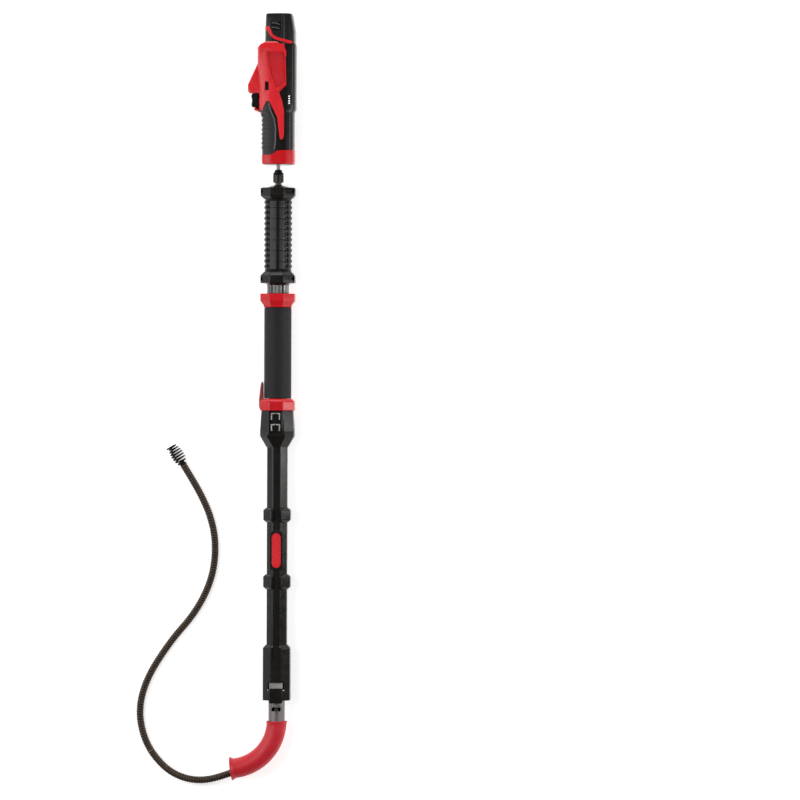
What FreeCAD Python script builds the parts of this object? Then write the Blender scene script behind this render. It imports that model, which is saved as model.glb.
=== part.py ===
import FreeCAD, Part

# Cordless drain snake: a battery driver turns a coiled cable through a telescopic guide.
#
# Frame: millimetres, +Y along the tool towards the battery, +Z up, -X towards the free cable.
# The tool lies on its flats. Its long axis is at Z = axis_z, and the origin is the middle of
# the flat under the lower collar.

import math
import os
import re

import Sketcher
from FreeCAD import Placement, Rotation, Vector

DOC = FreeCAD.newDocument("DrainSnake")
PIECES = []

SIZES = {
    # the whole tool
    "axis_z": 30, "wide_flats": 60, "fit_gap": 0.35, "hinge_gap": 0.06,
    # telescope: outer core, inner tube and the grips on them
    "inner_tube_r": 12.7, "inner_tube_bore": 11, "inner_tube_low": -410, "inner_tube_high": 366.8,
    "core_r": 15.5, "core_bore": 13.1, "core_low": -50, "core_high": 182,
    "foam_r": 24, "foam_low": 13.1, "foam_high": 173.1,
    "collar_low": -7.9, "collar_bevel": 7.9,
    "upper_collar_bevel": 183.8, "upper_collar_high": 196.9,
    "seal_low": 187, "seal_high": 191, "seal_r": 16.5, "seal_gap": 0.08,
    "neck_r": 19.15, "neck_low": 197.2, "flute_r": 1.6, "flute_count": 12,
    "flange_low": 215.3, "flange_bevel": 228.4, "flange_high": 235.4,
    "ribbed_flats": 47.4, "ribbed_high": 362.3, "rib_pitch": 9.38, "rib_count": 13, "rib_round": 4.3,
    "cap_bevel": 368.4, "cap_high": 382.4, "dome_high": 386.4, "dome_r": 21, "dome_top_r": 10,
    "bearing_r": 9, "bearing_low": 368, "bearing_high": 382,
    # release lever and the shoe it holds against the inner tube
    "pivot_x": -25.5, "pivot_y": -0.6, "hub_r": 6.8, "lever_half": 7, "lever_pin_r": 1.5,
    "lever_pin_half": 14, "lever_slot_floor": -17.5, "lever_slot_half": 7.4,
    "shoe_outer": -18.6, "shoe_low": 2.4, "shoe_high": 10.4, "shoe_half": 5, "shoe_gap": 0.5,
    # housing under the lower collar
    "housing_high": -8, "housing_waist": 55, "housing_flats": 59.4,
    "housing_shoulder": -44, "housing_bevel": -52.5, "housing_low": -72.6,
    "window_low": -48, "window_high": -9, "window_left": -12.2, "window_right": 9.2,
    "window_floor": 20, "clip_half": 8.4, "clip_height": 12.5, "clip_leg": 2.2, "clip_depth": 4,
    "clip_upper_high": -11.7, "clip_lower_high": -31.3,
    "housing_screw_x": 21.5, "housing_screw_upper": -16, "housing_screw_lower": -42,
    # guide tube, its rings and the badge
    "guide_flats": 35.5, "guide_low": -460, "guide_high": -50, "guide_bore": 13.1,
    "ring_flats": 47.4, "ring_rim": 37, "ring_bevel": 4.4,
    "ring_upper_low": -203.9, "ring_upper_high": -177.6,
    "ring_lower_low": -321.1, "ring_lower_high": -294,
    "badge_low": -283.7, "badge_high": -221.4, "badge_half": 6.4, "badge_sink": 1, "badge_proud": 0.6,
    # socket with its latch, and the bent steel tube that it holds
    "socket_flats": 47.6, "socket_rim": 36.6, "socket_high": -417.4, "socket_bevel": -423.5,
    "socket_low": -515.4, "slot_high": -483.9, "slot_low": -494, "slot_half": 14,
    "latch_half": 11.8, "latch_low": -520.1, "latch_floor": 17, "latch_top": 23.6,
    "latch_pin_y": -497.5, "latch_pin_z": 20, "latch_pin_r": 1.2, "latch_pin_half": 15,
    "strip_low": 14.6, "strip_high": 16.4,
    "steel_r": 14.3, "steel_bore": 12.7, "bend_start": -552, "bend_r": 84, "steel_sweep": 72,
    "detent_half": 7.5, "detent_high": -522.6, "detent_low": -527.4, "detent_r": 16.2,
    "tube_slot_half": 8, "tube_slot_low": -534.3,
    # rubber elbow
    "boot_r": 17.4, "boot_sweep": 82, "flare_length": 8,
    "flare_r": 20.4, "flare_bore": 16.9,
    # cable and bulb head
    "cable_r": 6.35, "cable_join": -404, "cable_drop": -555.5, "cable_sweep": 70,
    "cable_exit_x": -81.5,
    "bulb_start_r": 6, "bulb_wire_r": 1.15, "bulb_pitch": 5, "bulb_height": 40, "bulb_angle": 10.3,
    "bulb_plug_r": 5.6, "bulb_plug_length": 8,
    # drive line: shank, quick coupler and spindle
    "shaft_r": 5, "shaft_low": 364, "shank_collar_r": 6.3, "shank_collar_low": 386.7,
    "shank_collar_high": 388.8, "hex_flats": 6.35, "hex_high": 400, "hex_gap": 0.1,
    "coupler_r": 6.5, "coupler_low": 389.8, "coupler_high": 413.9, "coupler_stop": 404,
    "stop_ring_r": 7.8, "stop_ring_thick": 1.2,
    "sleeve_r": 9.7, "sleeve_low": 392, "sleeve_step": 394.5, "sleeve_high": 409.5,
    "sleeve_bore": 6.85, "sleeve_recess": 8.2, "sleeve_taper": 405, "sleeve_top_r": 8.9,
    "spring_mean_r": 7.35, "spring_wire_r": 0.4,
    "spindle_r": 3.5, "spindle_low": 404, "carrier_low": 437, "carrier_high": 441, "carrier_r": 14,
    "planet_centre_r": 9.5, "planet_r": 5.4, "planet_pin_r": 1.5, "planet_low": 442,
    "planet_high": 450, "sun_r": 3.9, "planet_count": 3,
    # driver body
    "driver_half": 27, "driver_round": 9, "driver_low": 423.5, "driver_high": 633.5,
    "grip_front": -28.2, "grip_back": 28.5, "driver_back": 31.7, "receiver_front": -36.6,
    "trigger_wall": -33.4, "nose_front": -53.2, "nose_half": 15, "guard_front": -42.2,
    "nose_cap_high": 446, "skin": 2, "spine_front": 18.7,
    "bore_r": 20.4, "bore_low": 428.4, "bore_high": 524.5,
    "bay_front": -12.7, "bay_back": 27.7, "bay_half": 20.5, "bay_low": 552.5,
    "switch_bay_front": -25.5, "switch_bay_back": 22, "switch_bay_half": 16,
    "screw_r": 1.4, "screw_head_r": 2.7,
    # trigger and selector
    "trigger_front": -47.6, "trigger_back": -33.9, "trigger_low": 523.4, "trigger_high": 547.6,
    "trigger_half": 9, "pocket_floor": -28, "trigger_travel": 5.5,
    "switch_front": -20.5, "switch_back": -2, "trigger_spring_r": 2.6, "trigger_spring_y": 535.5,
    "selector_front": -20, "selector_back": -14.6, "selector_low": 554, "selector_high": 568,
    "selector_bottom": -28.5, "selector_top": 24.5,
    # motor and gearbox
    "gearbox_r": 20, "gearbox_bore": 16.6, "gearbox_low": 429, "gearbox_wall": 435,
    "gearbox_high": 463, "ring_gear_r": 15.2, "ring_gear_low": 441.5, "ring_gear_high": 450.5,
    "motor_r": 18.6, "motor_low": 464, "motor_high": 519, "motor_wall": 1.8, "motor_plate": 3,
    "rotor_r": 13, "rotor_low": 472, "rotor_high": 510, "rotor_shaft_r": 1.6, "rotor_shaft_high": 515,
    "board_low": 526.5, "board_high": 550, "board_z": -14, "board_thick": 1.6,
    "terminal_high": 558.5, "lamp_x": 20.8, "lamp_r": 1.1, "lamp_pitch": 4, "lamp_low": 529.3,
    "lamp_count": 4,
    # battery
    "battery_front": -23.3, "battery_back": 29.9, "battery_low": 633.8, "battery_high": 687,
    "battery_half": 24, "stem_front": -12.2, "stem_back": 27.2, "stem_half": 20,
    "stem_low": 559.5, "cell_r": 9.1, "cell_bore": 9.3, "cell_low": 561.5, "cell_high": 627,
    "latch_plate_front": -12, "latch_plate_back": 5, "latch_plate_low": 657, "latch_plate_high": 673,
    "latch_plate_inner": 21.5, "latch_plate_outer": 24.8, "latch_recess": 19, "latch_clear": 0.4,
}

# the free cable's route, from the elbow's mouth to the bulb head: X, Y, Z
CABLE_ROUTE = [
    (-81.5, -644.0, 30.0), (-106.8, -653.2, 30.0), (-135, -657.5, 26.5), (-163, -654.5, 20.0),
    (-189, -643.5, 14.0), (-211, -624.5, 9.6), (-229, -600, 7.2), (-240, -571.5, 6.4),
    (-244.5, -540.5, 6.4), (-240.5, -508, 6.4), (-227, -473, 6.4), (-206, -438.5, 6.4),
    (-181.5, -404.5, 6.4), (-153, -372, 6.4), (-131, -336.5, 6.4), (-116.5, -299, 6.4),
    (-111, -262, 6.4), (-112.5, -225, 6.4), (-121.5, -190, 6.4), (-136, -158, 6.4),
    (-152.5, -129, 6.8), (-167.7, -104, 10.2),
]


def make_sheet():
    sheet = DOC.addObject("Spreadsheet::Sheet", "Dims")
    for row, (alias, value) in enumerate(SIZES.items(), start=1):
        sheet.set("A%d" % row, alias)
        sheet.set("B%d" % row, str(value))
        sheet.setAlias("B%d" % row, alias)
    DOC.recompute()
    return sheet


SHEET = make_sheet()


def size(alias):
    return float(SHEET.get(alias))


def bound(formula):
    """A formula in the sheet's words, written the way an expression needs it."""
    def word(found):
        return "Dims." + found.group() if found.group() in SIZES else found.group()
    return re.sub(r"[A-Za-z_]\w*", word, str(formula))


def bind(thing, **formulas):
    for name, formula in formulas.items():
        thing.setExpression(name.replace("_dot_", "."), bound(formula))
    return thing


def place(thing, x="0", y="0", z="0", turn=None):
    """Places an object from the tool's axis, turned first if a rotation is given."""
    thing.Placement = Placement(Vector(0, 0, 0), turn or Rotation())
    return bind(thing, Placement_dot_Base_dot_x=x, Placement_dot_Base_dot_y=y,
                Placement_dot_Base_dot_z="axis_z + (%s)" % z)


ALONG_Y = Rotation(Vector(1, 0, 0), -90)
ALONG_X = Rotation(Vector(0, 1, 0), 90)


def piece(thing, label):
    thing.Label = label
    PIECES.append(thing)
    return thing


# ---- primitives, placed from the tool's axis ----

def box(x, y, z):
    solid = DOC.addObject("Part::Box", "Block")
    bind(solid, Length="(%s) - (%s)" % (x[1], x[0]), Width="(%s) - (%s)" % (y[1], y[0]),
         Height="(%s) - (%s)" % (z[1], z[0]))
    return place(solid, x[0], y[0], z[0])


def rod(radius, low, high, x="0", z="0"):
    solid = bind(DOC.addObject("Part::Cylinder", "Rod"), Radius=radius,
                 Height="(%s) - (%s)" % (high, low))
    return place(solid, x, low, z, ALONG_Y)


def rod_up(radius, low, high, x="0", y="0"):
    solid = bind(DOC.addObject("Part::Cylinder", "RodUp"), Radius=radius,
                 Height="(%s) - (%s)" % (high, low))
    return place(solid, x, y, low)


def rod_across(radius, low, high, y="0", z="0"):
    solid = bind(DOC.addObject("Part::Cylinder", "RodAcross"), Radius=radius,
                 Height="(%s) - (%s)" % (high, low))
    return place(solid, low, y, z, ALONG_X)


def cone(radius_low, radius_high, low, high):
    solid = bind(DOC.addObject("Part::Cone", "Cone"), Radius1=radius_low, Radius2=radius_high,
                 Height="(%s) - (%s)" % (high, low))
    return place(solid, "0", low, "0", ALONG_Y)


def octagon(stations):
    """A solid with flats, through sections given as (across flats, place along Y)."""
    sections = []
    for flats, along in stations:
        section = DOC.addObject("Part::RegularPolygon", "Octagon")
        section.Polygon = 8
        bind(section, Circumradius="(%s) / 2 / cos(22.5)" % flats)
        sections.append(place(section, "0", along, "0", ALONG_Y * Rotation(Vector(0, 0, 1), 22.5)))
    loft = DOC.addObject("Part::Loft", "Flats")
    loft.Sections = sections
    loft.Solid = True
    loft.Ruled = True
    return loft


def fuse(*things):
    joined = DOC.addObject("Part::MultiFuse", "Joined")
    joined.Shapes = list(things)
    return joined


def cut(base, *tools):
    result = DOC.addObject("Part::Cut", "Trimmed")
    result.Base = base
    result.Tool = tools[0] if len(tools) == 1 else fuse(*tools)
    return result


def common(first, second):
    result = DOC.addObject("Part::Common", "Shared")
    result.Base = first
    result.Tool = second
    return result


# ---- sketched bodies ----

def new_sketch(body, role):
    sketch = body.newObject("Sketcher::SketchObject", "Sketch")
    plane = [item for item in body.Origin.OriginFeatures if item.Role == role][0]
    sketch.AttachmentSupport = [(plane, "")]
    sketch.MapMode = "FlatFace"
    return sketch


def pin_point(sketch, curve, end, across, along):
    """Ties one point of a curve to a place given by two formulas."""
    for kind, formula in (("DistanceX", across), ("DistanceY", along)):
        index = sketch.addConstraint(Sketcher.Constraint(kind, -1, 1, curve, end, 1.0))
        sketch.setExpression("Constraints[%d]" % index, bound(formula))


def outline(sketch, points):
    """A closed outline of straight lines through points given as pairs of formulas."""
    count = len(points)
    for index in range(count):
        angle = 2 * math.pi * index / count
        after = 2 * math.pi * (index + 1) / count
        start = Vector(math.cos(angle), math.sin(angle), 0)
        sketch.addGeometry(Part.LineSegment(start, Vector(math.cos(after), math.sin(after), 0)))
    for index in range(count):
        joint = Sketcher.Constraint("Coincident", index, 2, (index + 1) % count, 1)
        sketch.addConstraint(joint)
    for index, (across, along) in enumerate(points):
        pin_point(sketch, index, 1, across, along)


def ring_profile(sketch, radii):
    """Circles about the sketch's origin."""
    for index, radius in enumerate(radii):
        sketch.addGeometry(Part.Circle(Vector(0, 0, 0), Vector(0, 0, 1), 10 + index))
        sketch.addConstraint(Sketcher.Constraint("Coincident", index, 3, -1, 1))
        fixed = sketch.addConstraint(Sketcher.Constraint("Radius", index, 10.0 + index))
        sketch.setExpression("Constraints[%d]" % fixed, bound(radius))


def turned(points):
    """A body turned about the tool's axis from (radius, place along Y) points."""
    body = DOC.addObject("PartDesign::Body", "Turned")
    sketch = new_sketch(body, "XY_Plane")
    outline(sketch, points)
    turn = body.newObject("PartDesign::Revolution", "Revolution")
    turn.Profile = sketch
    turn.ReferenceAxis = (sketch, ["V_Axis"])
    turn.Angle = 360
    return place(body)


def tube(bore, radius, low, high):
    return turned([(bore, low), (radius, low), (radius, high), (bore, high)])


def slab(points, low, high):
    """A body padded upwards from an outline in X and Y, between two heights."""
    body = DOC.addObject("PartDesign::Body", "Slab")
    sketch = new_sketch(body, "XY_Plane")
    outline(sketch, points)
    pad = body.newObject("PartDesign::Pad", "Pad")
    pad.Profile = sketch
    bind(pad, Length="(%s) - (%s)" % (high, low))
    return place(body, "0", "0", low)


def coil(radius, wire, pitch, height, angle="0"):
    """A round wire wound about its own Z axis."""
    line = bind(DOC.addObject("Part::Helix", "CoilLine"), Pitch=pitch, Height=height,
                Radius=radius, Angle=angle)
    ring = bind(DOC.addObject("Part::Circle", "Wire"), Radius=wire)
    ring.Placement = Placement(Vector(0, 0, 0), Rotation(Vector(1, 0, 0), 90))
    bind(ring, Placement_dot_Base_dot_x=radius)
    sweep = DOC.addObject("Part::Sweep", "Coil")
    sweep.Sections = [ring]
    sweep.Spine = (line, ["Edge1"])
    sweep.Solid = True
    sweep.Frenet = True
    return sweep


def bent_pipe(radii, start, bend_start, sweep, straight):
    """A pipe that runs down the axis, then bends towards -X and may end in a straight run."""
    body = DOC.addObject("PartDesign::Body", "Bent")
    profile = new_sketch(body, "XZ_Plane")
    ring_profile(profile, radii)
    bind(profile, AttachmentOffset_dot_Base_dot_z="0 - (%s)" % start)
    path = new_sketch(body, "XY_Plane")
    bend, turn = size("bend_r"), math.radians(size(sweep))
    centre = Vector(-bend, size(bend_start), 0)
    curves = []
    if size_of(start) > size_of(bend_start):
        curves.append(Part.LineSegment(Vector(0, size_of(start), 0), Vector(0, centre.y, 0)))
    arc = Part.ArcOfCircle(Part.Circle(centre, Vector(0, 0, 1), bend), -turn, 0)
    curves.append(arc)
    if straight:
        heading = Vector(-math.sin(turn), -math.cos(turn), 0)
        foot = centre + Vector(math.cos(turn), -math.sin(turn), 0) * bend
        curves.append(Part.LineSegment(foot, foot + heading * straight))
    for curve in curves:
        path.addGeometry(curve)
    path.addConstraint([Sketcher.Constraint("Block", index) for index in range(len(curves))])
    pipe = body.newObject("PartDesign::AdditivePipe", "Pipe")
    pipe.Profile = profile
    pipe.Spine = (path, ["Edge%d" % (index + 1) for index in range(len(curves))])
    return place(body)


def size_of(name):
    return size(name) if name in SIZES else float(name)


# ---- telescope and grips ----

def add_telescope():
    piece(tube("inner_tube_bore", "inner_tube_r", "inner_tube_low", "inner_tube_high"),
          "inner_tube")
    shoe_window = box(("-20", "-10"), ("shoe_low - shoe_gap", "shoe_high + shoe_gap"),
                      ("-1 * shoe_half - 0.4", "shoe_half + 0.4"))
    core = tube("core_bore", "core_r", "core_low", "core_high")
    piece(cut(core, shoe_window), "grip_core")
    piece(tube("core_r", "foam_r", "foam_low", "foam_high"), "foam_grip")
    collar = octagon([("48", "foam_high"), ("49.5", "foam_high + 3.5"),
                      ("wide_flats", "upper_collar_bevel"), ("wide_flats", "upper_collar_high")])
    piece(cut(collar, rod("core_bore", "foam_high - 1", "upper_collar_high + 1"),
              rod("core_r", "foam_high - 1", "core_high"), rod("seal_r", "seal_low", "seal_high")),
          "upper_collar")
    piece(tube("inner_tube_r + seal_gap", "seal_r", "seal_low", "seal_high"), "wiper_seal")


def add_upper_handle():
    outer = size("ribbed_flats") / 2
    body = DOC.addObject("PartDesign::Body", "Ribbed")
    sketch = new_sketch(body, "XY_Plane")
    outline(sketch, [("inner_tube_r", "flange_high"), ("ribbed_flats / 2", "flange_high"),
                     ("ribbed_flats / 2", "ribbed_high"), ("inner_tube_r", "ribbed_high")])
    turn = body.newObject("PartDesign::Revolution", "Revolution")
    turn.Profile = sketch
    turn.ReferenceAxis = (sketch, ["V_Axis"])
    turn.Angle = 360
    DOC.recompute()
    plain_volume = body.Shape.Volume
    hollow = new_sketch(body, "XY_Plane")
    hollow.addGeometry(Part.Circle(Vector(outer + 3, 250, 0), Vector(0, 0, 1), 4))
    pin_point(hollow, 0, 3, "ribbed_flats / 2 + rib_round - 1", "flange_high + rib_pitch * 0.7")
    radius = hollow.addConstraint(Sketcher.Constraint("Radius", 0, 4.0))
    hollow.setExpression("Constraints[%d]" % radius, bound("rib_round"))
    groove = body.newObject("PartDesign::Groove", "Groove")
    groove.Profile = hollow
    groove.ReferenceAxis = (hollow, ["V_Axis"])
    groove.Angle = 360
    row = body.newObject("PartDesign::LinearPattern", "Ribs")
    row.Originals = [groove]
    row.Direction = (hollow, ["V_Axis"])
    row.Occurrences = int(size("rib_count"))
    bind(row, Length="rib_pitch * (rib_count - 1)")
    body.Tip = row
    DOC.recompute()
    if body.Shape.Volume >= plain_volume:
        raise RuntimeError("the ribbed grip's grooves cut nothing")
    piece(place(body), "ribbed_grip")

    flange = octagon([("wide_flats", "flange_low"), ("wide_flats", "flange_bevel"),
                      ("ribbed_flats", "flange_high")])
    flutes = []
    for index in range(int(size("flute_count"))):
        angle = 360.0 / size("flute_count") * (index + 0.5)
        flutes.append(rod("flute_r", "neck_low - 1", "flange_low - 3",
                          "(neck_r + 0.5) * cos(%g)" % angle, "(neck_r + 0.5) * sin(%g)" % angle))
    neck = rod("neck_r", "neck_low", "flange_low + 1")
    bore = rod("inner_tube_r", "neck_low - 2", "flange_high + 1")
    piece(cut(fuse(flange, neck), bore, *flutes), "lower_flange")

    cap = fuse(octagon([("ribbed_flats", "ribbed_high"), ("wide_flats", "cap_bevel"),
                        ("wide_flats", "cap_high")]),
               cone("dome_r", "dome_top_r", "cap_high", "dome_high"))
    piece(cut(cap, rod("inner_tube_r", "ribbed_high - 1", "inner_tube_high"),
              rod("bearing_r", "inner_tube_high - 1", "bearing_high"),
              rod("shaft_r + 0.5", "bearing_high - 1", "dome_high + 1")), "upper_cap")
    piece(tube("shaft_r + hinge_gap", "bearing_r", "bearing_low", "bearing_high"), "upper_bearing")


def add_release():
    """The lower collar, with the lever in its slot and the shoe that the lever presses."""
    slot = box(("-31", "lever_slot_floor"), ("collar_low - 1", "foam_low + 1"),
               ("-1 * lever_slot_half", "lever_slot_half"))
    window = box(("-20", "-10"), ("shoe_low - shoe_gap", "shoe_high + shoe_gap"),
                 ("-1 * shoe_half - 0.4", "shoe_half + 0.4"))
    pin_hole = rod_up("lever_pin_r", "-20", "20", "pivot_x", "pivot_y")
    collar = octagon([("wide_flats", "collar_low"), ("wide_flats", "collar_bevel"),
                      ("50", "foam_low")])
    piece(cut(collar, rod("core_r", "collar_low - 1", "foam_low + 1"), slot, window, pin_hole),
          "lower_collar")
    arm = slab([("-32.3", "pivot_y"), ("-32.4", "11.4"), ("-31.4", "20"), ("-30.4", "30"),
                ("-29", "38"), ("-27", "43"), ("-24.9", "41"), ("-24.7", "foam_low - 0.8"),
                ("-21", "7.4"), ("-19.5", "pivot_y + 1")], "-1 * lever_half", "lever_half")
    hub = rod_up("hub_r", "-1 * lever_half", "lever_half", "pivot_x", "pivot_y")
    bore = rod_up("lever_pin_r + hinge_gap", "-8", "8", "pivot_x", "pivot_y")
    piece(cut(fuse(arm, hub), bore), "release_lever")
    piece(rod_up("lever_pin_r", "-1 * lever_pin_half", "lever_pin_half", "pivot_x", "pivot_y"),
          "lever_pin")
    shoe = box(("shoe_outer", "-8"), ("shoe_low", "shoe_high"), ("-1 * shoe_half", "shoe_half"))
    piece(cut(shoe, rod("core_bore", "shoe_low - 1", "shoe_high + 1")), "brake_shoe")


def add_housing():
    """Two moulded halves with a window, screwed together round the core and the guide tube."""
    whole = octagon([("guide_flats + 1", "housing_low"), ("housing_flats", "housing_bevel"),
                     ("housing_flats", "housing_shoulder"), ("housing_waist", "housing_high")])
    seat = octagon([("guide_flats", "housing_low - 1"), ("guide_flats", "guide_high")])
    window = box(("window_left", "window_right"), ("window_low", "window_high"),
                 ("window_floor", "40"))
    screws, holes = [], []
    for x in ("housing_screw_x", "-1 * housing_screw_x"):
        for y in ("housing_screw_upper", "housing_screw_lower"):
            shank = rod_up("screw_r", "-16", "9", x, y)
            head = rod_up("screw_head_r", "-18.4", "-16", x, y)
            screws.append(fuse(shank, head))
            holes.append(rod_up("screw_r", "-17", "9", x, y))
            holes.append(rod_up("screw_head_r", "-40", "-16", x, y))
    bore = rod("core_r", "core_low", "housing_high + 1")
    hollow = cut(whole, bore, seat, window, *holes)
    upper_half = box(("-40", "40"), ("-90", "0"), ("0", "40"))
    lower_half = box(("-40", "40"), ("-90", "0"), ("-40", "0"))
    piece(common(hollow, upper_half), "housing_front")
    piece(common(hollow, lower_half), "housing_back")
    piece(fuse(*screws), "housing_screws")
    clips = []
    for top in ("clip_upper_high", "clip_lower_high"):
        plate = box(("-1.5 - clip_half", "clip_half - 1.5"), (top + " - clip_height", top),
                    ("window_floor", "window_floor + clip_depth"))
        gap = box(("-1.5 - clip_half + clip_leg", "clip_half - clip_leg - 1.5"),
                  (top + " - clip_height - 1", top + " - clip_leg / 2"),
                  ("window_floor - 1", "window_floor + clip_depth + 1"))
        clips.append(cut(plate, gap))
    piece(fuse(*clips), "window_clips")


# ---- guide tube, socket and elbow ----

def add_guide_tube():
    outer = octagon([("guide_flats", "guide_low"), ("guide_flats", "guide_high")])
    bore = rod("guide_bore", "guide_low - 1", "guide_high + 1")
    face = "guide_flats / 2"
    sink = box(("-1 * badge_half", "badge_half"), ("badge_low", "badge_high"),
               (face + " - badge_sink", face + " + 5"))
    piece(cut(outer, bore, sink), "guide_tube")
    piece(box(("-1 * badge_half", "badge_half"), ("badge_low", "badge_high"),
              (face + " - badge_sink", face + " + badge_proud")), "badge_plate")
    for label, low, high in (("ring_upper", "ring_upper_low", "ring_upper_high"),
                             ("ring_lower", "ring_lower_low", "ring_lower_high")):
        ring = octagon([("ring_rim", low), ("ring_flats", low + " + ring_bevel"),
                        ("ring_flats", high + " - ring_bevel"), ("ring_rim", high)])
        hole = octagon([("guide_flats", low + " - 1"), ("guide_flats", high + " + 1")])
        piece(cut(ring, hole), label)


def add_socket():
    body = octagon([("socket_flats", "socket_low"), ("socket_flats", "socket_bevel"),
                    ("socket_rim", "socket_high")])
    seat = octagon([("guide_flats", "guide_low"), ("guide_flats", "socket_high + 1")])
    bore = rod("steel_r", "socket_low - 1", "guide_low + 1")
    latch_room = box(("-1 * latch_half - 0.4", "latch_half + 0.4"), ("socket_low - 1", "slot_low"),
                     ("strip_low", "30"))
    slot = box(("-1 * slot_half", "slot_half"), ("slot_low", "slot_high"), ("strip_low", "30"))
    pin_hole = rod_across("latch_pin_r", "-20", "20", "latch_pin_y", "latch_pin_z")
    piece(cut(body, seat, bore, latch_room, slot, pin_hole), "tube_socket")
    piece(rod_across("latch_pin_r", "-1 * latch_pin_half", "latch_pin_half", "latch_pin_y",
                     "latch_pin_z"), "latch_pin")
    tab = box(("-1 * latch_half", "latch_half"), ("latch_low", "slot_low - 0.4"),
              ("latch_floor", "latch_top"))
    tab_bore = rod_across("latch_pin_r + hinge_gap", "-20", "20", "latch_pin_y", "latch_pin_z")
    piece(cut(tab, tab_bore), "tube_latch")
    piece(box(("-1 * latch_half", "latch_half"), ("slot_low", "slot_high"),
              ("strip_low", "strip_high")), "latch_strip")


def add_steel_tube():
    pipe = bent_pipe(["steel_bore", "steel_r"], "guide_low", "bend_start", "steel_sweep", 0)
    slot = box(("-1 * tube_slot_half", "tube_slot_half"), ("tube_slot_low", "detent_low"),
               ("0", "20"))
    piece(cut(pipe, slot), "steel_tube")
    block = common(box(("-1 * detent_half", "detent_half"), ("detent_low", "detent_high"),
                       ("0", "20")), rod("detent_r", "detent_low", "detent_high"))
    piece(cut(block, rod("steel_r", "detent_low - 1", "detent_high + 1")), "detent_block")


def add_boot():
    """The rubber elbow: a bent sleeve on the steel tube, with a flared mouth."""
    turn = math.radians(size("boot_sweep"))
    heading = Vector(-math.sin(turn), -math.cos(turn), 0)
    bend_end = Vector(-size("bend_r") * (1 - math.cos(turn)),
                      size("bend_start") - size("bend_r") * math.sin(turn), size("axis_z"))

    def flared(narrow, wide):
        bend = bind(DOC.addObject("Part::Torus", "Bend"), Radius1="bend_r", Radius2=narrow,
                    Angle3="boot_sweep")
        place(bend, "-1 * bend_r", "bend_start", "0",
              Rotation(Vector(0, 0, 1), -size("boot_sweep")))
        flare = bind(DOC.addObject("Part::Cone", "Flare"), Radius1=narrow, Radius2=wide,
                     Height="flare_length")
        flare.Placement = Placement(bend_end, Rotation(Vector(0, 0, 1), heading))
        return fuse(bend, flare)

    piece(cut(flared("boot_r", "flare_r"), flared("steel_r", "flare_bore")), "elbow_boot")


# ---- cable ----

def rounded_path(points):
    """Straight runs joined by tangent arcs, each as large as its two runs allow."""
    edges, radii = [], []
    start = points[0]
    for before, corner, after in zip(points, points[1:], points[2:]):
        back, ahead = before - corner, after - corner
        trim = 0.45 * min(back.Length, ahead.Length)
        half_turn = (math.pi - back.getAngle(ahead)) / 2
        radius = trim / math.tan(half_turn)
        entry = corner + back.normalize() * trim
        leave = corner + ahead.normalize() * trim
        inward = (entry + leave) * 0.5 - corner
        middle = corner + inward.normalize() * (radius / math.cos(half_turn) - radius)
        edges.append(Part.LineSegment(start, entry).toShape())
        edges.append(Part.Arc(entry, middle, leave).toShape())
        radii.append(radius)
        start = leave
    edges.append(Part.LineSegment(start, points[-1]).toShape())
    length = sum(edge.Length for edge in edges)
    return Part.Wire(edges), radii, length


def add_cable():
    radius = size("cable_r")
    piece(rod("cable_r", "cable_join", "shaft_low"), "drive_cable")
    turn = math.radians(size("cable_sweep"))
    foot_x = -size("bend_r") * (1 - math.cos(turn))
    straight = (foot_x - size("cable_exit_x")) / math.sin(turn)
    piece(bent_pipe(["cable_r"], "cable_join", "cable_drop", "cable_sweep", straight),
          "guided_cable")

    points = [Vector(*point) for point in CABLE_ROUTE]
    path, radii, length = rounded_path(points)
    print("cable arc radii:", ", ".join("%.0f" % value for value in radii))
    ring = Part.Wire(Part.makeCircle(radius, points[0], points[1] - points[0]))
    free = path.makePipeShell([ring], True, False)
    expected = math.pi * radius ** 2 * length
    print("cable length %.1f, volume %.0f of %.0f" % (length, free.Volume, expected))
    cable = DOC.addObject("Part::Feature", "FreeCable")
    cable.Shape = free
    cable.Placement = Placement()
    piece(cable, "free_cable")

    facing = Rotation(Vector(0, 0, 1), points[-1] - points[-2])
    spiral = coil("bulb_start_r", "bulb_wire_r", "bulb_pitch", "bulb_height", "bulb_angle")
    plug = bind(DOC.addObject("Part::Cylinder", "Plug"), Radius="bulb_plug_r",
                Height="bulb_plug_length")
    lifted = DOC.addObject("Part::MultiFuse", "Bulb")
    spiral.Placement = Placement(Vector(0, 0, size("bulb_wire_r")), Rotation())
    lifted.Shapes = [spiral, plug]
    lifted.Placement = Placement(points[-1], facing)
    piece(lifted, "bulb_head")


# ---- drive line ----

def hexagon(flats, low, high):
    solid = DOC.addObject("Part::Prism", "Hexagon")
    solid.Polygon = 6
    bind(solid, Circumradius="(%s) / 2 / cos(30)" % flats, Height="(%s) - (%s)" % (high, low))
    return place(solid, "0", low, "0", ALONG_Y)


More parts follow.
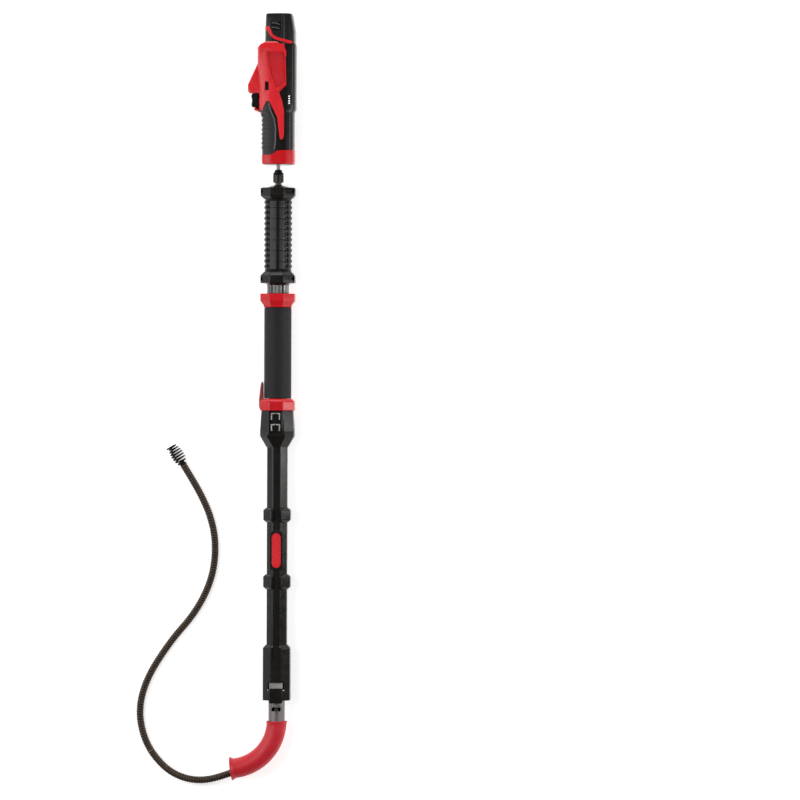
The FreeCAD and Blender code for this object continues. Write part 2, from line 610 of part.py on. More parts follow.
def add_drive_line():
    shank = fuse(rod("shaft_r", "shaft_low", "shank_collar_low"),
                 rod("shank_collar_r", "shank_collar_low", "shank_collar_high"),
                 hexagon("hex_flats", "shank_collar_high", "hex_high"))
    piece(shank, "drive_shank")
    body = turned([("0", "coupler_low"), ("coupler_r", "coupler_low"),
                   ("coupler_r", "coupler_stop"), ("stop_ring_r", "coupler_stop"),
                   ("stop_ring_r", "coupler_stop + stop_ring_thick"),
                   ("coupler_r", "coupler_stop + stop_ring_thick"),
                   ("coupler_r", "coupler_high - 1.5"), ("coupler_r - 1.5", "coupler_high"),
                   ("0", "coupler_high")])
    piece(cut(body, hexagon("hex_flats + 2 * hex_gap", "coupler_low - 1", "hex_high + 1"),
              rod("spindle_r", "spindle_low", "coupler_high + 1")), "coupler_body")
    piece(turned([("sleeve_bore", "sleeve_low"), ("sleeve_r", "sleeve_low"),
                  ("sleeve_r", "sleeve_taper"), ("sleeve_top_r", "sleeve_high"),
                  ("sleeve_recess", "sleeve_high"), ("sleeve_recess", "sleeve_step"),
                  ("sleeve_bore", "sleeve_step")]), "coupler_sleeve")
    spring = coil("spring_mean_r", "spring_wire_r", "1.8", "coupler_stop - sleeve_step - 1")
    place(spring, "0", "sleeve_step + 0.5", "0", ALONG_Y)
    piece(spring, "coupler_spring")
    pins, wheels = [], []
    for index in range(int(size("planet_count"))):
        angle = 360.0 / size("planet_count") * index + 90
        x = "planet_centre_r * cos(%g)" % angle
        z = "planet_centre_r * sin(%g)" % angle
        pins.append(rod("planet_pin_r", "carrier_high", "planet_high", x, z))
        wheel = rod("planet_r", "planet_low", "planet_high", x, z)
        wheels.append(cut(wheel, rod("planet_pin_r", "planet_low - 1", "planet_high + 1", x, z)))
    piece(fuse(rod("spindle_r", "spindle_low", "carrier_low"),
               rod("carrier_r", "carrier_low", "carrier_high"), *pins), "spindle")
    piece(fuse(*wheels), "planet_gears")


# ---- driver ----

MAIN_OUTLINE = [
    ("grip_front + 2", "driver_low"), ("grip_front", "driver_low + 4"), ("grip_front", "508"),
    ("trigger_wall", "516"), ("trigger_wall", "bay_low"), ("receiver_front", "599"),
    ("receiver_front", "driver_high - 8"), ("receiver_front + 4.6", "driver_high"),
    ("driver_back - 0.7", "driver_high"), ("driver_back", "driver_high - 4.5"),
    ("driver_back", "520.5"), ("grip_back", "514.5"), ("grip_back", "driver_low + 4"),
    ("grip_back - 2", "driver_low"),
]
NOSE_OUTLINE = [
    ("-26", "505.5"), ("-34", "513"), ("guard_front", "518"), ("guard_front", "521.5"),
    ("trigger_wall", "trigger_low - 0.4"), ("trigger_wall", "trigger_high + 0.4"),
    ("nose_front + 2.7", "trigger_high + 0.4"), ("nose_front", "552"), ("nose_front", "562.8"),
    ("receiver_front", "599"), ("-26", "599"),
]
OVERMOULD_OUTLINE = [
    ("-40", "nose_cap_high"), ("-1.5", "nose_cap_high"), ("-1.5", "490"), ("-12", "517"),
    ("-14.5", "534"), ("-19.5", "534"), ("-22", "514"), ("-27", "506"), ("-40", "506"),
]
DRIVER_SCREWS = [("24.4", "458"), ("24.4", "500"), ("25", "538"), ("-28", "575"), ("-28", "612")]


def driver_block():
    """The driver's outer form: a rounded body with a narrower trigger nose."""
    main = slab(MAIN_OUTLINE, "-1 * driver_half", "driver_half")
    DOC.recompute()
    low, high = size("axis_z") - size("driver_half"), size("axis_z") + size("driver_half")
    rim = []
    for index, edge in enumerate(main.Shape.Edges, start=1):
        box_of = edge.BoundBox
        along_side = box_of.ZLength < 0.01 and box_of.YLength > box_of.XLength
        if along_side and min(abs(box_of.ZMin - low), abs(box_of.ZMax - high)) < 0.01:
            rim.append((index, size("driver_round"), size("driver_round")))
    rounded = DOC.addObject("Part::Fillet", "RoundedBody")
    rounded.Base = main
    rounded.Edges = rim
    return fuse(rounded, slab(NOSE_OUTLINE, "-1 * nose_half", "nose_half"))


def rounded_core():
    """The driver's form under its rubber skin."""
    core = box(("grip_front + skin", "driver_back - skin"), ("driver_low - 1", "driver_high + 1"),
               ("skin - driver_half", "driver_half - skin"))
    DOC.recompute()
    reach = size("driver_high") - size("driver_low")
    rim = [(index, size("driver_round") - size("skin"), size("driver_round") - size("skin"))
           for index, edge in enumerate(core.Shape.Edges, start=1) if edge.Length > reach]
    rounded = DOC.addObject("Part::Fillet", "RoundedCore")
    rounded.Base = core
    rounded.Edges = rim
    return rounded


def driver_bays():
    """The hollows of the driver: motor, switch, battery, trigger and selector."""
    return fuse(
        rod("bore_r", "bore_low", "bore_high"),
        box(("switch_bay_front", "switch_bay_back"), ("bore_high - 1", "bay_low + 1"),
            ("-1 * switch_bay_half", "switch_bay_half")),
        box(("bay_front", "bay_back"), ("bay_low", "driver_high + 1"),
            ("-1 * bay_half", "bay_half")),
        box(("-40", "pocket_floor"), ("trigger_low - 0.4", "trigger_high + 0.4"),
            ("-1 * trigger_half - 0.4", "trigger_half + 0.4")),
        rod_across("trigger_spring_r + 1", "-30", "-24", "trigger_spring_y"),
        box(("selector_front - 0.4", "selector_back + 0.4"),
            ("selector_low - 0.4", "selector_high + 0.4"), ("-40", "40")))


def add_driver_shells():
    block = driver_block()
    core = rounded_core()
    skin_region = slab(OVERMOULD_OUTLINE, "-1 * driver_half - 1", "driver_half + 1")
    overmould = piece(cut(common(block, skin_region), core), "grip_overmould")

    lamps, lamp_holes = [], []
    for index in range(int(size("lamp_count"))):
        y = "lamp_low + lamp_pitch * %d" % index
        lamps.append(rod_up("lamp_r", "driver_half - 4", "driver_half + 0.3", "lamp_x", y))
        lamp_holes.append(rod_up("lamp_r", "driver_half - 4", "driver_half + 2", "lamp_x", y))
    piece(fuse(*lamps), "gauge_lamps")
    spine_region = box(("spine_front", "40"), ("nose_cap_high", "driver_high + 1"), ("-40", "40"))
    spine = cut(common(block, spine_region), core)
    piece(cut(spine, *lamp_holes), "spine_cover")

    screws, holes = [], []
    for x, y in DRIVER_SCREWS:
        screws.append(fuse(rod_up("screw_r", "-21", "10", x, y),
                           rod_up("screw_head_r", "-23.4", "-21", x, y)))
        holes.append(rod_up("screw_r", "-22", "10", x, y))
        holes.append(rod_up("screw_head_r", "-40", "-21", x, y))
    piece(fuse(*screws), "driver_screws")

    bays = driver_bays()
    cap_region = box(("-60", "60"), ("0", "nose_cap_high"), ("-40", "40"))
    piece(cut(common(block, cap_region), rod("spindle_r + 0.7", "0", "bore_high"), bays),
          "nose_cap")
    shell_region = box(("-60", "60"), ("nose_cap_high", "driver_high + 1"), ("-40", "40"))
    shell = cut(common(block, shell_region), overmould, spine, bays, *(lamp_holes + holes))
    piece(common(shell, box(("-60", "60"), ("400", "700"), ("0", "40"))), "driver_shell_front")
    piece(common(shell, box(("-60", "60"), ("400", "700"), ("-40", "0"))), "driver_shell_back")


def add_controls():
    piece(slab([("trigger_back", "trigger_low"), ("trigger_back", "trigger_high"),
                ("trigger_front + 2", "trigger_high"), ("trigger_front", "trigger_high - 3"),
                ("trigger_front + 0.9", "trigger_high - 12"), ("trigger_front", "trigger_low + 3"),
                ("trigger_front + 2", "trigger_low")], "-1 * trigger_half", "trigger_half"),
          "trigger")
    piece(box(("switch_front", "switch_back"), ("527", "546"), ("-8", "8")), "trigger_switch")
    spring = coil("trigger_spring_r - 0.4", "0.4", "2.4",
                  "switch_front - trigger_back - 0.8")
    place(spring, "trigger_back + 0.4", "trigger_spring_y", "0", ALONG_X)
    piece(spring, "trigger_spring")
    piece(box(("selector_front", "selector_back"), ("selector_low", "selector_high"),
              ("selector_bottom", "selector_top")), "direction_selector")
    piece(box(("0", "21"), ("board_low", "board_high"), ("board_z", "board_z + board_thick")),
          "circuit_board")
    piece(box(("bay_front", "bay_back"), ("bay_low", "terminal_high"),
              ("-1 * bay_half", "bay_half")), "terminal_block")


def add_motor():
    case = cut(rod("gearbox_r", "gearbox_low", "gearbox_high"),
               rod("bearing_r", "gearbox_low - 1", "gearbox_wall + 1"),
               rod("ring_gear_r", "gearbox_wall", "gearbox_high + 1"),
               rod("gearbox_bore", "gearbox_wall", "ring_gear_low"),
               rod("gearbox_bore", "ring_gear_high", "gearbox_high + 1"))
    piece(case, "gearbox_case")
    piece(tube("spindle_r + hinge_gap", "bearing_r", "gearbox_low", "gearbox_wall"),
          "spindle_bearing")
    can = cut(rod("motor_r", "motor_low", "motor_high"),
              rod("motor_r - motor_wall", "motor_low + motor_plate", "motor_high - motor_plate"),
              rod("rotor_shaft_r + hinge_gap", "motor_low - 1", "motor_low + motor_plate + 1"))
    piece(can, "motor_can")
    piece(fuse(rod("rotor_shaft_r", "planet_low", "rotor_shaft_high"),
               rod("rotor_r", "rotor_low", "rotor_high"),
               rod("sun_r", "planet_low", "planet_high")), "motor_rotor")


def add_battery():
    cap = slab([("battery_front", "battery_low"), ("battery_back", "battery_low"),
                ("battery_back", "battery_high - 20"), ("battery_back - 4.4", "battery_high"),
                ("battery_front + 1.8", "battery_high - 2.5"), ("battery_front", "battery_high - 18")],
               "-1 * battery_half", "battery_half")
    stem = box(("stem_front", "stem_back"), ("stem_low", "battery_low + 1"),
               ("-1 * stem_half", "stem_half"))
    middle = "(stem_front + stem_back) / 2"
    places = [(middle + " - 9.5", "-9.2"), (middle + " - 9.5", "9.2"), (middle + " + 8", "0")]
    bores = [rod("cell_bore", "cell_low", "cell_high", x, z) for x, z in places]
    cells = [rod("cell_r", "cell_low", "cell_high - 0.5", x, z) for x, z in places]
    recesses = []
    for side, label in ((1, "battery_latch_front"), (-1, "battery_latch_back")):
        low, high = sorted((side * size("latch_recess"), side * (size("battery_half") + 2)))
        recesses.append(box(("latch_plate_front - latch_clear", "latch_plate_back + latch_clear"),
                            ("latch_plate_low - latch_clear", "latch_plate_high + latch_clear"),
                            ("%g" % low, "%g" % high)))
        inner, outer = "%d * latch_plate_inner" % side, "%d * latch_plate_outer" % side
        heights = (inner, outer) if side > 0 else (outer, inner)
        piece(box(("latch_plate_front", "latch_plate_back"),
                  ("latch_plate_low", "latch_plate_high"), heights), label)
    piece(cut(fuse(cap, stem), *(bores + recesses)), "battery_case")
    piece(fuse(*cells), "battery_cells")


def check_and_export():
    DOC.recompute()
    for thing in DOC.Objects:
        if "Invalid" in thing.State or "Error" in thing.State:
            raise RuntimeError("%s (%s) failed: %s" % (thing.Name, thing.Label, thing.State))
    os.makedirs("parts", exist_ok=True)
    for thing in PIECES:
        shape = thing.Shape
        if shape.isNull() or not shape.isValid():
            raise RuntimeError("%s has no valid shape" % thing.Label)
        shape.exportStep("parts/%s.step" % thing.Label)
    print("%d sub-parts written" % len(PIECES))


add_telescope()
add_upper_handle()
add_release()
add_housing()
add_guide_tube()
add_socket()
add_steel_tube()
add_boot()
add_cable()
add_drive_line()
add_driver_shells()
add_controls()
add_motor()
add_battery()
check_and_export()
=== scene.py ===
from math import atan2, copysign, cos, exp, hypot, pi, radians, sin, sqrt

import bmesh
import bpy
from mathutils import Matrix, Vector


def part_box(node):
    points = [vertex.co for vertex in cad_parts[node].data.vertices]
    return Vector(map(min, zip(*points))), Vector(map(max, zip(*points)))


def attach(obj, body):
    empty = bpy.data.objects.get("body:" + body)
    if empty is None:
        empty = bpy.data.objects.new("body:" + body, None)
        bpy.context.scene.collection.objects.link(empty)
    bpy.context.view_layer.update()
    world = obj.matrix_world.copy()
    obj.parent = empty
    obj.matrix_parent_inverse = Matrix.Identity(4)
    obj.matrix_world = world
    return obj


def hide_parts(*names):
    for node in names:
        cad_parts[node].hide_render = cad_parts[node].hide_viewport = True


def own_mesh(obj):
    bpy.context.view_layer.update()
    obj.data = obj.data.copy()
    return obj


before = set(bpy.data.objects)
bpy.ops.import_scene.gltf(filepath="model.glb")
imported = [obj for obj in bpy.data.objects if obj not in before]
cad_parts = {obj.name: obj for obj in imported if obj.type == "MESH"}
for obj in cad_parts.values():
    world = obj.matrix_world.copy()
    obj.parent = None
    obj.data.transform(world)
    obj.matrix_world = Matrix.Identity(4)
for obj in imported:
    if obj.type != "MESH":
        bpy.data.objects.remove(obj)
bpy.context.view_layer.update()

# Shapes are drawn in millimetres from the tool's long axis: X across, Y along the tool towards
# the battery, Z up. Each finished mesh is lifted to the axis and turned to metres.

MM = 0.001
FAR = 60   # beyond every face of the tool, in front or behind


def span(node):
    """The lowest and highest corner of a CAD node, in millimetres from the tool's axis."""
    low, high = (Vector(corner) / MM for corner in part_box(node))
    return low - AXIS, high - AXIS


AXIS = Vector((0, 0, 0))
AXIS.z = sum(corner[2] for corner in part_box("guide_tube")) / 2 / MM


def shown(name, data):
    """A new object in the scene."""
    made = bpy.data.objects.new(name, data)
    bpy.context.scene.collection.objects.link(made)
    return made


def as_mesh(form, name):
    """A mesh with a form's faces. The form itself is used up."""
    mesh = bpy.data.meshes.new(name)
    form.to_mesh(mesh)
    form.free()
    return mesh


# ---- camera, floor and light ----

VIEW_WIDTH = 1400 * MM
VIEW_CENTRE = Vector((214.9, 11.4, AXIS.z)) * MM
CAMERA_REACH = 7.8
CAMERA_LEAN = radians(3.5)
CAMERA_ROLL = radians(0.19)


def add_camera():
    """A long lens that looks almost straight down, leaning a little to the tool's right."""
    data = bpy.data.cameras.new("camera")
    data.sensor_width = 36
    data.lens = data.sensor_width * CAMERA_REACH / VIEW_WIDTH
    data.clip_end = 40
    camera = shown("camera", data)
    lean = Matrix.Rotation(CAMERA_LEAN, 3, "Y")
    camera.location = VIEW_CENTRE + lean @ Vector((0, 0, CAMERA_REACH))
    camera.rotation_euler = (lean @ Matrix.Rotation(CAMERA_ROLL, 3, "Z")).to_euler()
    bpy.context.scene.camera = camera


def add_floor(finish):
    form = bmesh.new()
    bmesh.ops.create_grid(form, x_segments=1, y_segments=1, size=9)
    floor = shown("floor", as_mesh(form, "floor"))
    floor.data.materials.append(finish)


def add_softbox(name, place, width, length, watts):
    """A rectangular lamp that faces the origin, near the middle of the tool."""
    data = bpy.data.lights.new(name, "AREA")
    data.shape = "RECTANGLE"
    data.size, data.size_y = width, length
    data.energy = watts
    light = shown(name, data)
    light.location = place
    light.rotation_euler = Vector(place).to_track_quat("Z", "Y").to_euler()


def add_lights():
    """Two broad softboxes, a low strip that edges the right side, and one beyond the battery."""
    add_softbox("left_box", (-1.7, 0.1, 1.6), 1.2, 3.0, 44)
    add_softbox("right_box", (1.9, 0.1, 1.9), 0.9, 3.0, 26)
    add_softbox("right_strip", (2.0, 0.0, 0.35), 0.3, 2.6, 26)
    add_softbox("far_box", (0.0, 3.0, 0.75), 2.0, 1.0, 44)
    world = bpy.data.worlds.new("studio")
    bpy.context.scene.world = world
    world.use_nodes = True
    sky = world.node_tree.nodes["Background"].inputs
    sky["Color"].default_value = (1, 1, 1, 1)
    sky["Strength"].default_value = 0.2
    bpy.context.scene.view_settings.view_transform = "Standard"


# ---- finishes ----

def linear(code):
    """A hex colour as linear light, with full alpha."""
    parts = [int(code[place:place + 2], 16) / 255 for place in (1, 3, 5)]
    return [part / 12.92 if part < 0.04045 else ((part + 0.055) / 1.055) ** 2.4
            for part in parts] + [1]


def add(tree, kind, inputs=None, links=None, **settings):
    """Adds a node with its settings, the values of its sockets and the links into them."""
    made = tree.nodes.new(kind)
    for key, value in settings.items():
        setattr(made, key, value)
    for key, value in (inputs or {}).items():
        made.inputs[key].default_value = value
    for key, source in (links or {}).items():
        tree.links.new(source, made.inputs[key])
    return made


def per_mm(size):
    """The scale that makes a pattern repeat about every so many millimetres."""
    return 1 / (size * MM)


def start_finish(name, **shader_inputs):
    material = bpy.data.materials.new(name)
    material.use_nodes = True
    tree = material.node_tree
    shader = tree.nodes["Principled BSDF"]
    for key, value in shader_inputs.items():
        shader.inputs[key.replace("_", " ")].default_value = value
    place = add(tree, "ShaderNodeTexCoord").outputs["Object"]
    return material, tree, shader, place


def noise(tree, place, size, **settings):
    """Soft noise with blotches about so many millimetres wide."""
    return add(tree, "ShaderNodeTexNoise", inputs={"Scale": per_mm(size), **settings},
               links={"Vector": place}).outputs["Fac"]


def cells(tree, place, size):
    """Rounded cells of about so many millimetres."""
    return add(tree, "ShaderNodeTexVoronoi", inputs={"Scale": per_mm(size)},
               links={"Vector": place}).outputs["Distance"]


def spread(tree, value, first, last, low=0.0, high=1.0):
    """A value that runs from low to high, stretched to run from first to last."""
    return add(tree, "ShaderNodeMapRange", inputs={"From Min": low, "From Max": high,
                                                   "To Min": first, "To Max": last},
               links={"Value": value}).outputs["Result"]


def two_tone(tree, shader, factor, first, second):
    mix = add(tree, "ShaderNodeMix", data_type="RGBA", inputs={6: linear(first), 7: linear(second)},
              links={0: factor})
    tree.links.new(mix.outputs[2], shader.inputs["Base Color"])


def uneven_gloss(tree, shader, roughness):
    tree.links.new(roughness, shader.inputs["Roughness"])


def relief(tree, shader, height, depth_mm, strength):
    bump = add(tree, "ShaderNodeBump", inputs={"Strength": strength, "Distance": depth_mm * MM},
               links={"Height": height})
    tree.links.new(bump.outputs["Normal"], shader.inputs["Normal"])


def moulded(name, deep, bright, roughness, grain_mm, grain_depth, smear=0.08, coat=0.0,
            shine=0.5):
    """Moulded plastic: spark-eroded grain, a slow drift of tone and rubbed, shinier patches."""
    material, tree, shader, place = start_finish(name, IOR=1.5, Specular_IOR_Level=shine,
                                                 Coat_Weight=coat, Coat_Roughness=0.25)
    two_tone(tree, shader, noise(tree, place, 45, Detail=4), deep, bright)
    rubbed = noise(tree, place, 14, Detail=6, Roughness=0.7)
    uneven_gloss(tree, shader, spread(tree, rubbed, roughness + smear, roughness - smear,
                                      0.3, 0.7))
    relief(tree, shader, cells(tree, place, grain_mm), grain_depth, 0.5)
    return material


def brushed_metal(name, deep, bright, roughness, line_mm, along):
    """Drawn or brushed metal: fine lines along one axis break the reflection into streaks."""
    material, tree, shader, place = start_finish(name, Metallic=1.0)
    stretch = [per_mm(line_mm)] * 3
    stretch["XYZ".index(along)] = per_mm(line_mm * 60)
    lines = add(tree, "ShaderNodeMapping", inputs={"Scale": stretch}, links={"Vector": place})
    streak = add(tree, "ShaderNodeTexNoise", inputs={"Scale": 1.0, "Detail": 5},
                 links={"Vector": lines.outputs["Vector"]}).outputs["Fac"]
    two_tone(tree, shader, streak, deep, bright)
    haze = noise(tree, place, 25, Detail=3)
    uneven_gloss(tree, shader, spread(tree, haze, roughness - 0.07, roughness + 0.1, 0.3, 0.7))
    relief(tree, shader, streak, 0.02, 0.35)
    return material


def closed_cell_foam():
    """Cross-linked foam sleeve: dead matte charcoal with burst cells that show as fine specks."""
    material, tree, shader, place = start_finish("closed_cell_foam", IOR=1.45, Roughness=0.56,
                                                 Specular_IOR_Level=0.2)
    specks = noise(tree, place, 2.2, Detail=6, Roughness=0.8)
    two_tone(tree, shader, spread(tree, specks, 0, 1, 0.42, 0.66), "#181718", "#232223")
    # real cells are 0.3 mm, drawn at 1.4 mm so that they show
    relief(tree, shader, cells(tree, place, 1.4), 0.25, 0.4)
    return material


def moulded_rubber(name, deep, bright, roughness, grain_mm):
    """Soft rubber: a matte skin with faint flow clouds and a broad, weak highlight."""
    material, tree, shader, place = start_finish(name, IOR=1.5, Specular_IOR_Level=0.4,
                                                 Sheen_Weight=0.03, Sheen_Roughness=0.5)
    cloud = noise(tree, place, 22, Detail=5)
    two_tone(tree, shader, cloud, deep, bright)
    uneven_gloss(tree, shader, spread(tree, cloud, roughness - 0.1, roughness + 0.12))
    relief(tree, shader, noise(tree, place, grain_mm, Detail=3), 0.12, 0.35)
    return material


def oiled_wire_painted_shade():
    """Blackened spring steel with brown oil smears, painted lighter on the crowns of the turns as a
    painted highlight and darker between them as painted shade.
    """
    material, tree, shader, place = start_finish("oiled_wire_painted_shade", Metallic=0.75)
    oil = noise(tree, place, 5, Detail=5, Roughness=0.65)
    crown = add(tree, "ShaderNodeNewGeometry").outputs["Pointiness"]
    # pointiness picks the crowns of the turns: painted highlight on them, painted shade in the
    # grooves between
    painted_crown_light = spread(tree, crown, 0, 1, 0.51, 0.63)
    blend = add(tree, "ShaderNodeMath", operation="MULTIPLY_ADD", inputs={1: 0.3, 2: -0.15},
                links={0: oil})
    oil_and_painted_light = add(tree, "ShaderNodeMath", operation="ADD", use_clamp=True,
                 links={0: painted_crown_light, 1: blend.outputs["Value"]}).outputs["Value"]
    two_tone(tree, shader, oil_and_painted_light, "#070503", "#7a6758")
    uneven_gloss(tree, shader, spread(tree, oil_and_painted_light, 0.5, 0.3))
    return material


def glowing_lamp():
    """A lit white light pipe, a little uneven from its moulding."""
    material, tree, shader, place = start_finish("lit_light_pipe", Roughness=0.3,
                                                 Emission_Strength=0.9)
    two_tone(tree, shader, noise(tree, place, 1.5), "#f2f5f4", "#ffffff")
    shader.inputs["Emission Color"].default_value = linear("#f4f8f6")
    return material


def studio_floor():
    """Backlit opal acrylic: matte and faintly cloudy, with a glow that keeps shadows pale."""
    material, tree, shader, place = start_finish("opal_acrylic", Roughness=0.9,
                                                 Emission_Strength=0.46)
    two_tone(tree, shader, noise(tree, place, 3, Detail=4), "#f3f3f2", "#f8f8f7")
    shader.inputs["Emission Color"].default_value = linear("#ffffff")
    return material


FINISH = {
    "black_nylon": moulded("glass_filled_black_nylon", "#0e0c0b", "#171412", 0.23, 0.9, 0.015,
                           shine=0.2),
    "satin_black": moulded("satin_black_abs", "#0e0d0e", "#171517", 0.23, 1.2, 0.015, shine=0.19),
    "battery_black": moulded("polished_black_abs", "#0a0808", "#120f0e", 0.2, 1.0, 0.015,
                             smear=0.05, coat=0.4, shine=0.45),
    "driver_red": moulded("red_nylon", "#c4121c", "#d61c26", 0.26, 1.0, 0.02,
                          coat=0.12, shine=0.42),
    # darker than the shell's red: painted shade of the sunk panel
    "shaded_panel_red": moulded("matte_red_nylon", "#b00f1b", "#c01520", 0.42, 1.0, 0.03, shine=0.3),
    "collar_red": moulded("bright_red_abs", "#b00d17", "#c6151e", 0.22, 1.2, 0.015, smear=0.05,
                          shine=0.24),
    "lever_red": moulded("dark_red_nylon", "#7c111d", "#8e1824", 0.34, 1.0, 0.03),
    "board_green": moulded("solder_mask", "#0f4a25", "#175c30", 0.3, 1.5, 0.02),
    "cell_wrap": moulded("shrink_wrap", "#1c5c86", "#246b96", 0.25, 2.0, 0.02),
    "black_rubber": moulded_rubber("black_overmould", "#121113", "#1c1b1d", 0.5, 0.9),
    # grey stands in for light caught along raised black rubber beads and ridges: a painted
    # highlight
    "highlight_grey_rubber": moulded_rubber("painted_highlight_overmould", "#4a494c", "#59585b", 0.5, 0.9),
    "elbow_rubber": moulded_rubber("red_elbow_rubber", "#b0101f", "#c41829", 0.46, 0.8),
    "foam": closed_cell_foam(),
    "steel": brushed_metal("satin_steel", "#636060", "#817d7c", 0.38, 0.5, "Y"),
    "plated": brushed_metal("zinc_plate", "#9c9a98", "#c4c2be", 0.3, 0.4, "X"),
    "alloy": brushed_metal("drawn_aluminium", "#9fa1a3", "#bfc1c3", 0.33, 0.5, "Y"),
    "black_oxide": brushed_metal("black_oxide_steel", "#2a2828", "#3c3938", 0.3, 0.6, "Y"),
    "bronze": brushed_metal("sintered_bronze", "#8c6536", "#a87c45", 0.45, 0.8, "Y"),
    "spring_wire": oiled_wire_painted_shade(),
    "bulb_wire": brushed_metal("blackened_bulb_wire", "#1c1815", "#2e2925", 0.34, 0.6, "Y"),
    "lamp": glowing_lamp(),
}


# ---- shaping ----

def face_outward(form):
    bmesh.ops.recalc_face_normals(form, faces=form.faces)


def spin_profile(points, steps=64, turn=0.0, closed=False):
    """Spins (radius, place along Y) points round the tool's axis and closes the ends."""
    form = bmesh.new()
    start = Matrix.Rotation(radians(turn), 3, "Y")
    corners = [form.verts.new(start @ Vector((radius, along, 0))) for radius, along in points]
    edges = [form.edges.new(pair) for pair in zip(corners, corners[1:])]
    if closed:
        edges.append(form.edges.new((corners[-1], corners[0])))
    bmesh.ops.spin(form, geom=corners + edges, cent=(0, 0, 0), axis=(0, 1, 0),
                   angle=2 * pi, steps=steps, use_merge=True)
    bmesh.ops.remove_doubles(form, verts=form.verts, dist=1e-4)
    rims = [edge for edge in form.edges if edge.is_boundary]
    if rims:
        bmesh.ops.edgeloop_fill(form, edges=rims)
    face_outward(form)
    return form


def round_off(form, edges, width, segments=2):
    bmesh.ops.bevel(form, geom=edges, offset=width, offset_type="OFFSET", segments=segments,
                    profile=0.5, affect="EDGES", material=-1, clamp_overlap=True)


def octagon(stations, rounding=1.2, segments=2):
    """Flats through (across flats, place along Y) sections, with every edge rounded."""
    across = 2 * cos(pi / 8)
    form = spin_profile([(flats / across, along) for flats, along in stations], 8, 22.5)
    if rounding:
        round_off(form, form.edges[:], rounding, segments)
    return form


def lofted(stations, power=4.0, steps=96):
    """Rounded-square sections (place along Y, left, right, half height), one after another."""
    form = spin_profile([(1, station[0]) for station in stations], steps)
    for vert in form.verts:
        place, left, right, half = min(stations, key=lambda item: abs(item[0] - vert.co.y))
        turn = atan2(vert.co.z, vert.co.x)
        across, up = cos(turn), sin(turn)
        reach = (abs(across) ** power + abs(up) ** power) ** (-1 / power)
        vert.co.x = (left + right) / 2 + (right - left) / 2 * across * reach
        vert.co.z = half * up * reach
    return form


def slab(outline, low, high):
    """A straight-sided block over an outline in X and Y."""
    form = bmesh.new()
    face = form.faces.new([form.verts.new((x, y, low)) for x, y in outline])
    raised = bmesh.ops.extrude_face_region(form, geom=[face])
    tops = [item for item in raised["geom"] if isinstance(item, bmesh.types.BMVert)]
    bmesh.ops.translate(form, verts=tops, vec=(0, 0, high - low))
    face_outward(form)
    return form


def rectangle(left, right, near, far):
    return [(left, near), (right, near), (right, far), (left, far)]


def block(x, y, z):
    return slab(rectangle(*x, *y), *z)


def crowned(outline, low, high, rounding, steps=5, both=True):
    """A block whose rims roll over in a quarter round."""
    floor = low + rounding if both else low
    form = slab(outline, floor, high - rounding)
    form.normal_update()
    caps = [face for face in form.faces if face.normal.z > 0.99 or (both and face.normal.z < -0.99)]
    for step in range(steps):
        before, after = (pi / 2 * place / steps for place in (step, step + 1))
        inward = rounding * (cos(before) - cos(after))
        upward = rounding * (sin(after) - sin(before))
        for cap in caps:
            bmesh.ops.inset_region(form, faces=[cap], thickness=inward, depth=upward,
                                   use_even_offset=True, use_boundary=True)
    return form


def plug(foot, tip, depth, turn, centre, steps=24):
    """A round plug about a centre, turned from upright. It tapers if its two radii differ."""
    form = bmesh.new()
    bmesh.ops.create_cone(form, cap_ends=True, segments=steps, radius1=foot, radius2=tip,
                          depth=depth)
    bmesh.ops.rotate(form, verts=form.verts, cent=(0, 0, 0), matrix=turn)
    bmesh.ops.translate(form, verts=form.verts, vec=centre)
    return form


def bar(radius, low, high, x=0.0, z=0.0, steps=32, along="Y"):
    """A round bar along one axis."""
    middle = (low + high) / 2
    turn, centre = {"X": (Matrix.Rotation(pi / 2, 3, "Y"), (middle, x, z)),
                    "Y": (Matrix.Rotation(pi / 2, 3, "X"), (x, middle, z)),
                    "Z": (Matrix.Identity(3), (x, z, middle))}[along]
    return plug(radius, radius, high - low, turn, centre, steps)


def tube_along(points, radius, sides=10, swell=None):
    """A round tube through points, closed at its ends. swell(run, angle) adds to its radius."""
    points = [Vector(point) for point in points]
    rings = len(points) - 1
    form = bmesh.new()
    bmesh.ops.create_grid(form, x_segments=rings, y_segments=sides, size=0.5)
    frames, run = [], 0.0
    across = None
    for index, point in enumerate(points):
        heading = (points[min(index + 1, rings)] - points[max(index - 1, 0)]).normalized()
        if across is None:
            across = heading.orthogonal().normalized()
        across = (across - heading * across.dot(heading)).normalized()
        if index:
            run += (point - points[index - 1]).length
        frames.append((point, across, heading.cross(across), run))
    for vert in form.verts:
        point, right, up, run = frames[round((vert.co.x + 0.5) * rings)]
        angle = 2 * pi * round((vert.co.y + 0.5) * sides) / sides
        reach = radius + (swell(run, angle) if swell else 0.0)
        vert.co = point + (right * cos(angle) + up * sin(angle)) * reach
    bmesh.ops.remove_doubles(form, verts=form.verts, dist=1e-3)
    bmesh.ops.edgeloop_fill(form, edges=[edge for edge in form.edges if edge.is_boundary])
    face_outward(form)
    return form


def joined(*forms):
    """Several closed forms as one mesh, left as they lie."""
    whole = bmesh.new()
    for form in forms:
        mesh = as_mesh(form, "part")
        whole.from_mesh(mesh)
        bpy.data.meshes.remove(mesh)
    return whole


